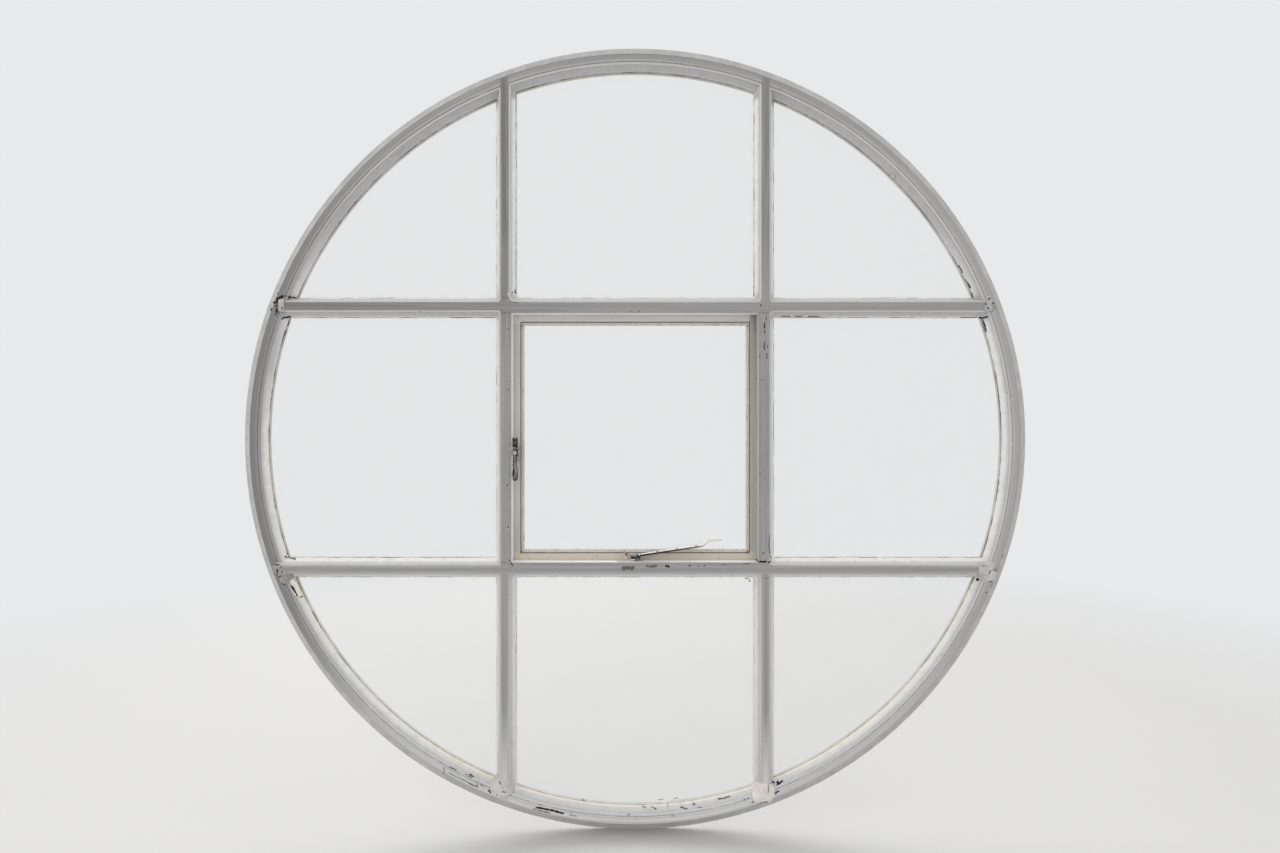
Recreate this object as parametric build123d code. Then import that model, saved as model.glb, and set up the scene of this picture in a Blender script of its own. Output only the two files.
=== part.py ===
from build123d import *
import math
import os

# Round steel window of nine lights with an outward-opening casement in the middle light.
# The frame is millimetres, +Z up, room side towards -Y, outside towards +Y.
# The origin is the centre of the ring on the outer face of its fixing fin.

# Ring and the grid of glazing bars
ring_radius = 885.0            # outer edge of the ring as it shows in the plaster
fin_width = 28.0               # fixing fin, hidden behind the plaster
light_width = 600.0            # between the axes of the upright bars
light_height = 605.0           # between the axes of the cross bars
grid_rise = 3.0                # the grid sits a little above the ring's centre
fixing_count = 12
fixing_radius = 3.5

# Section of ring and bars
flange_thick = 6.0             # outer flange that the glass beds against
flange_half = 22.0
web_half = 4.0
nose_half = 8.5                # flat face towards the room
nose_chamfer = 0.8
fillet_drop = 2.5              # small step below the nose
fillet_out = 0.5
shoulder_half = 13.0           # shoulder of the head, above the putty
shoulder_drop = 5.5
shoulder_edge = 2.0
head_rise = 2.5                # underside of the head slopes back to the web
glazing_depth = 25.0           # from the nose to the room face of the glass

# Glass and putty of the fixed lights
glass_thick = 4.0
bedding_thick = 1.0
glass_inset = 15.0             # glass edge from the bar's axis
putty_toe = 22.5               # putty line on the glass, from the bar's axis

# Riveted bar ends
tongue_inset = 3.0             # tongue stops short of the ring's outer edge
rivet_radius = 3.0
rivet_head_radius = 7.0
rivet_head_height = 2.5
rivet_depth = 14.0

# Fixed surround of the casement
surround_face = 8.0            # visible face beside the bar's nose
surround_lap = 5.5             # depth of the ends that lap the upright bars

# Casement sash
stop_gap = 0.5                 # between the surround and the closed sash
sash_clearance = 6.0           # between the bar's web and the sash edge
sash_flange_width = 22.0
sash_flange_thick = 4.0
sash_web_inset = 7.0           # web from the sash's outer edge
sash_web_thick = 4.0
sash_web_height = 9.5
sash_glass_gap = 2.0           # glass edge to web
sash_bedding_reach = 4.0       # bedding that shows beyond the flange
sash_putty_reach = 9.0         # outer putty line beyond the flange
sash_putty_drop = 0.5          # putty stops below the web's edge
sash_putty_top = 1.0

# Hinges on the right, on the outside
hinge_inset = 57.5             # hinge centre from the cross bar's axis
hinge_height = 60.0
hinge_axis_inset = 2.0         # pin axis from the bar's axis, towards the sash
knuckle_radius = 5.5
knuckle_lift = 0.5             # knuckle clear of the bar's outer face
hinge_pin_radius = 3.0
hinge_pin_head = 4.5
hinge_pin_head_height = 2.5
leaf_thick = 3.0
frame_leaf_width = 17.0
knuckle_gap = 0.3
running_clearance = 0.08

# Cockspur handle on the left stile
handle_drop = 34.0             # pivot below the middle of the sash
handle_plate_width = 12.0
handle_plate_length = 46.0
handle_plate_thick = 3.0
handle_neck_radius = 5.4
handle_face_gap = 2.0          # lever plane in front of the nose
handle_play = 0.3
lever_thick = 7.0
lever_hub_radius = 6.5
lever_root_radius = 4.5        # half width of the grip at the hub
lever_bulb_radius = 6.8        # rounded end of the pear
lever_length = 65.0
lever_chamfer = 1.8
spur_length = 35.0
spur_root_width = 11.0
spur_tip_width = 10.0
spur_thick = 6.0
handle_pivot_radius = 3.0
handle_pivot_head = 4.5
handle_pivot_head_height = 1.6
handle_screw_pitch = 34.0
screw_radius = 2.0
screw_head_radius = 3.2
screw_head_height = 1.0
screw_length = 6.0

# Peg stay on the bottom rail
stay_offset = -5.0             # swivel from the middle of the sash
stay_reach = 7.5               # swivel axis in front of the bracket plate
bracket_width = 30.0
bracket_height = 11.5
bracket_thick = 3.0
bracket_rise = 3.5             # bracket above the surround's ledge
bracket_shift = 7.0            # bracket plate's middle from the swivel
lug_thick = 2.5
lug_half = 6.5
swivel_pin_radius = 2.5
swivel_head_radius = 3.6
swivel_head_height = 1.5
swivel_disc_radius = 6.0
swivel_disc_thick = 2.5
swivel_gap = 0.3
lift_offset = 13.0             # lift pin from the swivel
lift_height = 4.7              # lift pin above the disc
lift_pin_radius = 1.8
lift_pin_head = 2.6
lift_pin_head_height = 1.0
cheek_thick = 2.8
cheek_radius = 4.4
arm_eye_radius = 4.0
arm_eye_width = 6.0
arm_side_gap = 0.3
arm_width = 13.0
arm_thick = 4.0
arm_tilt = 8.5
arm_root = 6.5                 # where the flat bar starts, from the lift pin
arm_straight = 150.0
arm_neck_run = 15.0
arm_neck_rise = 9.0
arm_tail = 31.0
arm_tail_drop = 1.5
arm_hole_first = 45.0
arm_hole_pitch = 45.0
arm_hole_count = 3
arm_hole_radius = 3.75
peg_offset = -16.0             # peg from the swivel
peg_set_back = 12.0            # peg behind the nose face
peg_radius = 2.75
peg_height = 20.0
peg_head_radius = 3.6
peg_head_height = 2.0
peg_plate_length = 42.0
peg_plate_width = 12.0
peg_plate_thick = 2.5
peg_screw_pitch = 30.0
peg_screw_length = 8.0

# Places worked out from the sizes above
overall_depth = flange_thick + bedding_thick + glass_thick + glazing_depth
nose_y = -overall_depth
flange_y = -flange_thick
glass_back_y = flange_y - bedding_thick
glass_front_y = glass_back_y - glass_thick
shoulder_y = nose_y + shoulder_drop
head_edge_y = shoulder_y + shoulder_edge
head_web_y = head_edge_y + head_rise
ring_line = ring_radius - nose_half      # the ring's axis, as a bent bar
left_x = -light_width / 2
right_x = light_width / 2
upper_z = grid_rise + light_height / 2
lower_z = grid_rise - light_height / 2
surround_inset = nose_half + surround_face
sash_inset = web_half + sash_clearance
sash_front_y = glass_front_y + stop_gap
sash_flange_back_y = sash_front_y + sash_flange_thick
sash_glass_front_y = sash_flange_back_y + bedding_thick
sash_glass_back_y = sash_glass_front_y + glass_thick
sash_web_y = sash_flange_back_y + sash_web_height
sash_web_outer = sash_inset + sash_web_inset
sash_web_inner = sash_web_outer + sash_web_thick
sash_glass_inset = sash_web_inner + sash_glass_gap
sash_sight = sash_inset + sash_flange_width
far = 2 * ring_radius

# Each light is bounded by bar axes, or by the ring alone where a side is far
lights = {
    "upper_left": (-far, left_x, upper_z, far),
    "upper_middle": (left_x, right_x, upper_z, far),
    "upper_right": (right_x, far, upper_z, far),
    "middle_left": (-far, left_x, lower_z, upper_z),
    "middle_right": (right_x, far, lower_z, upper_z),
    "lower_left": (-far, left_x, -far, lower_z),
    "lower_middle": (left_x, right_x, -far, lower_z),
    "lower_right": (right_x, far, -far, lower_z),
}
middle_light = (left_x, right_x, lower_z, upper_z)


def disc(radius, y_from, y_to):
    """Solid disc about the window's axis."""
    half = Polyline((0, y_from), (radius, y_from), (radius, y_to), (0, y_to), close=True)
    return revolve(make_face(half), Axis.Y)


def block(x_from, x_to, y_from, y_to, z_from, z_to):
    """Box between two corners."""
    size = (x_to - x_from, y_to - y_from, z_to - z_from)
    middle = ((x_from + x_to) / 2, (y_from + y_to) / 2, (z_from + z_to) / 2)
    return Pos(*middle) * Box(*size)


def light_rectangle(bounds, inset, y):
    """Rectangle of a light at one depth, moved in from the bar axes."""
    x_from, x_to, z_from, z_to = bounds
    width = x_to - x_from - 2 * inset
    height = z_to - z_from - 2 * inset
    plane = Plane.XZ.offset(-y)
    return plane * Pos((x_from + x_to) / 2, (z_from + z_to) / 2) * Rectangle(width, height)


def light_space(bounds, front_inset, y_front, back_inset, y_back):
    """Space of a light between two depths, with sloping sides where the insets differ."""
    cone = Polyline(
        (0, y_front),
        (ring_line - front_inset, y_front),
        (ring_line - back_inset, y_back),
        (0, y_back),
        close=True,
    )
    round_space = revolve(make_face(cone), Axis.Y)
    front = light_rectangle(bounds, front_inset, y_front)
    back = light_rectangle(bounds, back_inset, y_back)
    return round_space & loft([front, back], ruled=True)


def half_section():
    """Half of a bar's section, as distance from the axis and depth."""
    return [
        (nose_half - nose_chamfer, nose_y),
        (nose_half, nose_y + nose_chamfer),
        (nose_half + fillet_out, nose_y + fillet_drop),
        (shoulder_half, shoulder_y),
        (shoulder_half, head_edge_y),
        (web_half, head_web_y),
        (web_half, flange_y),
        (flange_half, flange_y),
        (flange_half, 0),
    ]


def cross_bar(z):
    """Full-length bar along X at one height."""
    one_side = [(y, z + out) for out, y in half_section()]
    other_side = [(y, z - out) for out, y in reversed(half_section())]
    section = Plane.YZ.offset(-ring_radius) * make_face(Polyline(one_side + other_side, close=True))
    return extrude(section, 2 * ring_radius)


def upright_bar(x, z_from, z_to):
    """Bar along Z between two heights."""
    one_side = [(x + out, y) for out, y in half_section()]
    other_side = [(x - out, y) for out, y in reversed(half_section())]
    section = Plane.XY.offset(z_from) * make_face(Polyline(one_side + other_side, close=True))
    return extrude(section, z_to - z_from)


def bar_ends():
    """Points where the bar noses cross the ring, with the bar's direction."""
    ends = []
    for z in (upper_z, lower_z):
        for side in (-1, 1):
            reach = math.sqrt(ring_line ** 2 - z ** 2)
            ends.append((side * reach, z, "cross"))
    for x in (left_x, right_x):
        for side in (-1, 1):
            reach = math.sqrt(ring_line ** 2 - x ** 2)
            ends.append((x, side * reach, "upright"))
    return ends


def tongues():
    """Noses of all the bars as they run over the ring."""
    reach = ring_radius - tongue_inset
    spread = nose_half
    bands = []
    for z in (upper_z, lower_z):
        bands.append(block(-far, far, nose_y, shoulder_y, z - spread, z + spread))
    for x in (left_x, right_x):
        bands.append(block(x - spread, x + spread, nose_y, shoulder_y, -far, far))
    rim = disc(reach, nose_y, shoulder_y) - disc(ring_line - shoulder_half, nose_y, shoulder_y)
    return [rim & band for band in bands]


def riveted_ends():
    """Bar ends that show a rivet: all but the two at the top."""
    return [(x, z) for x, z, kind in bar_ends() if kind == "cross" or z < 0]


def rivet(x, z):
    """Rivet with a low domed head, along Y."""
    dome_radius = (rivet_head_radius ** 2 + rivet_head_height ** 2) / (2 * rivet_head_height)
    half = Polyline(
        (0, -rivet_depth),
        (rivet_radius, -rivet_depth),
        (rivet_radius, 0),
        (rivet_head_radius, 0),
    )
    dome = RadiusArc((rivet_head_radius, 0), (0, rivet_head_height), -dome_radius)
    axis_line = Line((0, rivet_head_height), (0, -rivet_depth))
    turned = revolve(make_face(half + dome + axis_line), Axis.Y)
    return Pos(x, nose_y, z) * Rot(180, 0, 0) * turned


def rivet_hole(x, z):
    """Hole for a rivet's shank."""
    shank = Cylinder(rivet_radius, rivet_depth, rotation=(90, 0, 0))
    return Pos(x, nose_y + rivet_depth / 2, z) * shank


def fixing_holes():
    """Wall fixings round the fin."""
    pitch_radius = ring_radius + fin_width / 2
    hole = Pos(0, flange_y / 2, 0) * Cylinder(fixing_radius, flange_thick, rotation=(90, 0, 0))
    holes = []
    for n in range(fixing_count):
        angle = math.radians((n + 0.5) * 360 / fixing_count)
        holes.append(Pos(pitch_radius * math.cos(angle), 0, pitch_radius * math.sin(angle)) * hole)
    return holes


def ring_frame():
    """Ring bent from the same section, with a fin on its outer side."""
    inner = [(ring_line - out, y) for out, y in half_section()]
    outer = [
        (ring_radius + fin_width, 0),
        (ring_radius + fin_width, flange_y),
        (ring_radius, flange_y),
        (ring_radius, nose_y + nose_chamfer),
        (ring_radius - nose_chamfer, nose_y),
    ]
    ring = revolve(make_face(Polyline(inner + outer, close=True)), Axis.Y)
    return ring - tongues() - fixing_holes() - [rivet_hole(x, z) for x, z in riveted_ends()]


def casement_clearing():
    """Space cut from the bars on the side of the casement."""
    beside_nose = light_space(middle_light, nose_half, nose_y, nose_half, head_web_y)
    behind_nose = light_space(middle_light, web_half, head_web_y, web_half, 0)
    return [beside_nose, behind_nose]


def surround_rail(z_axis, inward):
    """Head or sill of the surround; its ends lap the noses of the upright bars."""
    edges = sorted((z_axis + inward * web_half, z_axis + inward * surround_inset))
    rail = block(left_x + web_half, right_x - web_half, nose_y, glass_front_y, *edges)
    lap = block(left_x - nose_half, right_x + nose_half, nose_y, nose_y + surround_lap, *edges)
    return rail + lap


def surround_jamb(x_axis, inward):
    """Upright of the surround, butted between head and sill."""
    edges = sorted((x_axis + inward * web_half, x_axis + inward * surround_inset))
    z_edges = (lower_z + surround_inset, upper_z - surround_inset)
    return block(*edges, nose_y, glass_front_y, *z_edges)


def fixed_pane(bounds):
    """Glass of a fixed light."""
    return light_space(bounds, glass_inset, glass_front_y, glass_inset, glass_back_y)


def fixed_putty(bounds, metal):
    """Putty round one pane: a bevel on the room side and the bed behind the glass."""
    filling = light_space(bounds, web_half, head_edge_y, web_half, flange_y)
    bevel = light_space(bounds, shoulder_half, head_edge_y, putty_toe, glass_front_y)
    behind = light_space(bounds, flange_half, glass_back_y, flange_half, flange_y)
    return filling - bevel - fixed_pane(bounds) - behind - metal


def square_ring(outer_inset, inner_inset, y_from, y_to):
    """Square ring in the middle light between two insets from the bar axes."""
    outer = light_space(middle_light, outer_inset, y_from, outer_inset, y_to)
    return outer - light_space(middle_light, inner_inset, y_from, inner_inset, y_to)


def sash_frame():
    """Sash welded from one T section: a flange towards the room and a web outwards."""
    flange = square_ring(sash_inset, sash_sight, sash_front_y, sash_flange_back_y)
    web = square_ring(sash_web_outer, sash_web_inner, sash_flange_back_y, sash_web_y)
    return flange + web


def sash_glass():
    """Pane of the sash."""
    inset = sash_glass_inset
    return light_space(middle_light, inset, sash_glass_front_y, inset, sash_glass_back_y)


def sash_bedding():
    """Dark bedding between flange and glass, squeezed out past the flange."""
    reach = sash_sight + sash_bedding_reach
    return square_ring(sash_web_inner, reach, sash_flange_back_y, sash_glass_front_y)


def sash_putty():
    """Weathered putty bevel on the outside of the sash pane."""
    top_y = sash_web_y - sash_putty_drop
    filling = light_space(middle_light, sash_web_inner, sash_glass_front_y, sash_web_inner, top_y)
    top_inset = sash_web_inner + sash_putty_top
    toe_inset = sash_sight + sash_putty_reach
    bevel = light_space(middle_light, toe_inset, sash_glass_back_y, top_inset, top_y)
    return filling - bevel - sash_glass()


def z_cylinder(radius, x, y, z_from, z_to):
    """Upright cylinder between two heights."""
    return Pos(x, y, (z_from + z_to) / 2) * Cylinder(radius, z_to - z_from)


def y_cylinder(radius, x, z, y_from, y_to):
    """Cylinder along Y between two depths."""
    return Pos(x, (y_from + y_to) / 2, z) * Cylinder(radius, y_to - y_from, rotation=(90, 0, 0))


hinge_x = right_x - hinge_axis_inset
hinge_y = knuckle_radius + knuckle_lift


def knuckle(z_from, z_to):
    """One length of hinge barrel, bored for the pin."""
    barrel = z_cylinder(knuckle_radius, hinge_x, hinge_y, z_from, z_to)
    bore = hinge_pin_radius + running_clearance
    return barrel - z_cylinder(bore, hinge_x, hinge_y, z_from, z_to)


def hinge_parts(z):
    """Frame leaf, sash leaf and pin of one hinge centred at a height."""
    third = hinge_height / 3
    low, high = z - hinge_height / 2, z + hinge_height / 2
    leaf_x = hinge_x + knuckle_radius - 1
    frame_leaf = block(leaf_x, leaf_x + frame_leaf_width, 0, leaf_thick, low, high)
    for z_from, z_to in ((low, low + third), (high - third, high)):
        web = block(hinge_x, leaf_x + 1, 0, leaf_thick, z_from, z_to)
        bore = z_cylinder(hinge_pin_radius + running_clearance, hinge_x, hinge_y, z_from, z_to)
        frame_leaf += knuckle(z_from, z_to) + (web - bore)
    middle_low, middle_high = low + third + knuckle_gap, high - third - knuckle_gap
    frame_leaf -= z_cylinder(knuckle_radius + knuckle_gap, hinge_x, hinge_y,
                             low + third, high - third)
    web_x = right_x - sash_web_inner
    plate = block(web_x, hinge_x, sash_web_y, sash_web_y + leaf_thick, middle_low, middle_high)
    plate -= z_cylinder(knuckle_radius - 1, hinge_x, hinge_y, middle_low, middle_high)
    sash_leaf = plate + knuckle(middle_low, middle_high)
    pin = z_cylinder(hinge_pin_radius, hinge_x, hinge_y, low, high)
    pin += z_cylinder(hinge_pin_head, hinge_x, hinge_y, high, high + hinge_pin_head_height)
    return frame_leaf, sash_leaf, pin


handle_x = left_x + sash_sight - handle_plate_width / 2
handle_z = grid_rise - handle_drop
lever_back_y = nose_y - handle_face_gap
lever_front_y = lever_back_y - lever_thick
lever_axis_y = (lever_back_y + lever_front_y) / 2
plate_front_y = sash_front_y - handle_plate_thick


def screw(length):
    """Cheese-head screw along -Z, seated at the origin."""
    head = Pos(0, 0, screw_head_height / 2) * Cylinder(screw_head_radius, screw_head_height)
    return head + Pos(0, 0, -length / 2) * Cylinder(screw_radius, length)


def handle_screw_places():
    """Places of the two screws of the handle plate, as turned screws."""
    heights = (handle_z - handle_screw_pitch / 2, handle_z + handle_screw_pitch / 2)
    one = Rot(90, 0, 0) * screw(screw_length)
    return [Pos(handle_x, plate_front_y, z) * one for z in heights]


def handle_plate():
    """Slotted-end plate with a turned neck that carries the lever clear of the surround."""
    outline = Rot(90, 0, 0) * Rot(0, 0, 90) * extrude(
        SlotOverall(handle_plate_length, handle_plate_width), handle_plate_thick / 2, both=True)
    plate = Pos(handle_x, (plate_front_y + sash_front_y) / 2, handle_z) * outline
    neck_length = plate_front_y - lever_back_y - handle_play
    neck = y_cylinder(handle_neck_radius, handle_x, handle_z, plate_front_y - neck_length, plate_front_y)
    return plate + neck - handle_screw_places() - handle_pivot(0)


def handle_pivot(play):
    """Riveted pivot pin, with its head in front of the lever."""
    pin = y_cylinder(handle_pivot_radius + play, handle_x, handle_z,
                     lever_front_y - handle_play, sash_front_y)
    head = y_cylinder(handle_pivot_head, handle_x, handle_z,
                      lever_front_y - handle_play - handle_pivot_head_height,
                      lever_front_y - handle_play)
    return pin + head


def handle_lever():
    """Cast lever with a pear-shaped grip below the hub and a flat spur above it."""
    hub = y_cylinder(lever_hub_radius, handle_x, handle_z, lever_front_y, lever_back_y)
    bulb = Pos(0, lever_bulb_radius - lever_length) * Circle(lever_bulb_radius)
    pear = make_hull(Circle(lever_root_radius).edges() + bulb.edges())
    grip = Rot(90, 0, 0) * extrude(pear, lever_thick / 2, both=True)
    rims = grip.edges().group_by(Axis.Y)
    grip = chamfer(rims[0] + rims[-1], lever_chamfer)
    grip = Pos(handle_x, lever_axis_y, handle_z) * grip
    root, end = spur_root_width / 2, spur_tip_width / 2
    spur_outline = Polyline((-root, 0), (root, 0), (end, spur_length), (-end, spur_length), close=True)
    spur_face = make_face(Plane.XZ.offset(-lever_back_y) * spur_outline)
    spur = Pos(handle_x, 0, handle_z) * extrude(spur_face, spur_thick)
    tips = spur.edges().filter_by(Axis.Y).sort_by(Axis.Z)[-2:]
    spur = fillet(tips, spur_tip_width / 4)
    return hub + grip + spur - handle_pivot(running_clearance)


stay_x = stay_offset
ledge_z = lower_z + surround_inset
bracket_face_y = sash_front_y - bracket_thick
stay_y = bracket_face_y - stay_reach
lug_low_z = ledge_z + bracket_rise
lug_top_z = lug_low_z + lug_thick
disc_low_z = lug_top_z + swivel_gap
disc_top_z = disc_low_z + swivel_disc_thick
lift_x = stay_x + lift_offset
lift_z = disc_top_z + lift_height
cheek_inner = arm_eye_width / 2 + arm_side_gap
cheek_outer = cheek_inner + cheek_thick


def bracket_screws():
    """Two screws that hold the stay bracket to the bottom rail."""
    middle = stay_x + bracket_shift
    height = lug_low_z + bracket_height - screw_head_radius - 1
    one = Rot(90, 0, 0) * screw(screw_length)
    spread = bracket_width / 2 - screw_head_radius - 1
    return [Pos(middle + side * spread, bracket_face_y, height) * one for side in (-1, 1)]


def stay_bracket():
    """Plate on the bottom rail with a lug for the swivel."""
    middle = stay_x + bracket_shift
    half = bracket_width / 2
    plate = block(middle - half, middle + half, bracket_face_y, sash_front_y,
                  lug_low_z, lug_low_z + bracket_height)
    lug = block(stay_x - lug_half, stay_x + lug_half, stay_y, bracket_face_y, lug_low_z, lug_top_z)
    lug += z_cylinder(lug_half, stay_x, stay_y, lug_low_z, lug_top_z)
    hole = z_cylinder(swivel_pin_radius, stay_x, stay_y, lug_low_z, lug_top_z)
    return plate + lug - hole - bracket_screws()


def stay_swivel_pin():
    """Rivet through lug and disc."""
    shank = z_cylinder(swivel_pin_radius, stay_x, stay_y, lug_low_z, disc_top_z + swivel_gap)
    head = z_cylinder(swivel_head_radius, stay_x, stay_y, disc_top_z + swivel_gap,
                      disc_top_z + swivel_gap + swivel_head_height)
    return shank + head


def stay_knuckle():
    """Disc on the swivel with two cheeks for the lift pin."""
    base = z_cylinder(swivel_disc_radius, stay_x, stay_y, disc_low_z, disc_top_z)
    base += block(stay_x, lift_x + cheek_radius, stay_y - cheek_outer, stay_y + cheek_outer,
                  disc_low_z, disc_top_z)
    base -= z_cylinder(swivel_pin_radius + running_clearance, stay_x, stay_y, disc_low_z, disc_top_z)
    cheeks = y_cylinder(cheek_radius, lift_x, lift_z, stay_y - cheek_outer, stay_y + cheek_outer)
    cheeks += block(lift_x - cheek_radius, lift_x + cheek_radius, stay_y - cheek_outer,
                    stay_y + cheek_outer, disc_top_z, lift_z)
    slot = block(lift_x - 2 * cheek_radius, lift_x + 2 * cheek_radius, stay_y - cheek_inner,
                 stay_y + cheek_inner, disc_top_z, lift_z + 2 * cheek_radius)
    pin_hole = y_cylinder(lift_pin_radius, lift_x, lift_z, stay_y - cheek_outer, stay_y + cheek_outer)
    return base + (cheeks - slot) - pin_hole


def stay_lift_pin():
    """Cross pin of the knuckle, with a small head on the room side."""
    shank = y_cylinder(lift_pin_radius, lift_x, lift_z, stay_y - cheek_outer, stay_y + cheek_outer)
    head = y_cylinder(lift_pin_head, lift_x, lift_z,
                      stay_y - cheek_outer - lift_pin_head_height, stay_y - cheek_outer)
    return shank + head


def stay_arm():
    """Flat bar with peg holes, a swan neck and a flat tail, eye at the lift pin."""
    half = arm_thick / 2
    neck_end = arm_straight + arm_neck_run
    tail_end = neck_end + arm_tail
    tail_z = arm_neck_rise - arm_tail_drop
    outline = Polyline(
        (0, -half),
        (arm_straight, -half),
        (neck_end, arm_neck_rise - half),
        (tail_end, tail_z - half),
        (tail_end, tail_z + half),
        (neck_end, arm_neck_rise + half),
        (arm_straight, half),
        (0, half),
        close=True,
    )
    face = make_face(Plane.XZ * outline)
    bend = [v for v in face.vertices() if arm_root < v.X < tail_end - 1]
    side = extrude(fillet(bend, arm_neck_rise), arm_width / 2, both=True)
    plan = Polyline(
        (0, -arm_eye_width / 2),
        (arm_root, -arm_eye_width / 2),
        (arm_root, -arm_width / 2),
        (arm_straight, -arm_width / 2),
        (neck_end, -arm_eye_width / 2),
        (tail_end, -arm_eye_width / 2),
        (tail_end, arm_eye_width / 2),
        (neck_end, arm_eye_width / 2),
        (arm_straight, arm_width / 2),
        (arm_root, arm_width / 2),
        (arm_root, arm_eye_width / 2),
        (0, arm_eye_width / 2),
        close=True,
    )
    plan_face = make_face(plan)
    tail_corners = plan_face.vertices().sort_by(Axis.X)[-2:]
    plan_solid = extrude(fillet(tail_corners, arm_eye_width / 2 - 0.5), 4 * arm_neck_rise, both=True)
    eye = Cylinder(arm_eye_radius, arm_eye_width, rotation=(90, 0, 0))
    arm = (side & plan_solid) + eye
    arm -= Cylinder(lift_pin_radius + running_clearance, arm_eye_width, rotation=(90, 0, 0))
    for n in range(arm_hole_count):
        arm -= Pos(arm_hole_first + n * arm_hole_pitch, 0, 0) * Cylinder(arm_hole_radius, 2 * arm_thick)
    return Pos(lift_x, stay_y, lift_z) * Rot(0, -arm_tilt, 0) * arm


peg_x = stay_x + peg_offset
peg_y = nose_y + peg_set_back
peg_plate_top_z = ledge_z + peg_plate_thick


def peg_screws():
    """Screws through the peg plate into the sill of the surround."""
    one = screw(peg_screw_length)
    spread = peg_screw_pitch / 2
    return [Pos(peg_x + side * spread, peg_y, peg_plate_top_z) * one for side in (-1, 1)]


def peg_plate():
    """Small plate on the ledge of the surround."""
    outline = SlotOverall(peg_plate_length, peg_plate_width)
    plate = Pos(peg_x, peg_y, ledge_z) * extrude(outline, peg_plate_thick)
    return plate - peg_screws() - z_cylinder(peg_radius, peg_x, peg_y, ledge_z, peg_plate_top_z)


def stay_peg():
    """Upright peg with a small head."""
    top_z = peg_plate_top_z + peg_height
    peg = z_cylinder(peg_radius, peg_x, peg_y, ledge_z, top_z)
    return peg + z_cylinder(peg_head_radius, peg_x, peg_y, top_z, top_z + peg_head_height)


def fixed_metal():
    """Ring, bars and surround, each coped to what it meets."""
    ring = ring_frame()
    rivets = [rivet_hole(x, z) for x, z in riveted_ends()]
    rim = disc(ring_radius - tongue_inset, nose_y, 0)
    clearing = casement_clearing()
    cross = {}
    for name, z in (("upper_crossbar", upper_z), ("lower_crossbar", lower_z)):
        cross[name] = (cross_bar(z) & rim) - ring - clearing - rivets
    head = surround_rail(upper_z, -1) - cross["upper_crossbar"]
    sill = surround_rail(lower_z, 1) - cross["lower_crossbar"] - peg_screws()
    upright = {}
    for side, x in (("left", left_x), ("right", right_x)):
        upper = upright_bar(x, upper_z, far) & rim
        upright["upper_" + side + "_bar"] = upper - ring - cross["upper_crossbar"]
        lower = upright_bar(x, -far, lower_z) & rim
        upright["lower_" + side + "_bar"] = lower - ring - cross["lower_crossbar"] - rivets
        middle = upright_bar(x, lower_z, upper_z) - list(cross.values())
        upright["middle_" + side + "_bar"] = middle - clearing - head - sill
    parts = {"ring_frame": ring, **cross, **upright}
    parts["surround_head"] = head
    parts["surround_sill"] = sill
    for side, x, inward in (("left", left_x, 1), ("right", right_x, -1)):
        jamb = surround_jamb(x, inward) - upright["middle_" + side + "_bar"]
        parts["surround_" + side + "_jamb"] = jamb
    return parts


def all_parts():
    """Every node of the window by name."""
    parts = fixed_metal()
    metal = list(parts.values())
    parts["bar_end_rivets"] = [rivet(x, z) for x, z in riveted_ends()]
    for name, bounds in lights.items():
        parts[name + "_pane"] = fixed_pane(bounds)
        parts[name + "_putty"] = fixed_putty(bounds, metal)
    parts["sash_frame"] = sash_frame() - handle_screw_places() - bracket_screws()
    parts["sash_frame"] -= handle_pivot(0)
    parts["sash_pane"] = sash_glass()
    parts["sash_bedding"] = sash_bedding()
    parts["sash_putty"] = sash_putty()
    parts["hinge_pins"] = []
    for name, z in (("upper_hinge", upper_z - hinge_inset), ("lower_hinge", lower_z + hinge_inset)):
        frame_leaf, sash_leaf, pin = hinge_parts(z)
        parts[name + "_frame_leaf"] = frame_leaf
        parts[name + "_sash_leaf"] = sash_leaf
        parts["hinge_pins"].append(pin)
    parts["handle_plate"] = handle_plate()
    parts["handle_lever"] = handle_lever()
    parts["handle_pivot"] = handle_pivot(0)
    parts["stay_bracket"] = stay_bracket()
    parts["sash_screws"] = handle_screw_places() + bracket_screws()
    parts["stay_swivel_pin"] = stay_swivel_pin()
    parts["stay_knuckle"] = stay_knuckle()
    parts["stay_lift_pin"] = stay_lift_pin()
    parts["stay_arm"] = stay_arm()
    parts["peg_plate"] = peg_plate()
    parts["peg_plate_screws"] = peg_screws()
    parts["stay_peg"] = stay_peg()
    return parts


os.makedirs("parts", exist_ok=True)
for part_name, shape in all_parts().items():
    solids = shape if isinstance(shape, list) else [shape]
    group = Compound(children=[solid for item in solids for solid in item.solids()])
    export_step(group, "parts/" + part_name + ".step")
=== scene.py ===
import bmesh
import bpy
import math
from mathutils import Matrix, Vector, noise


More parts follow.
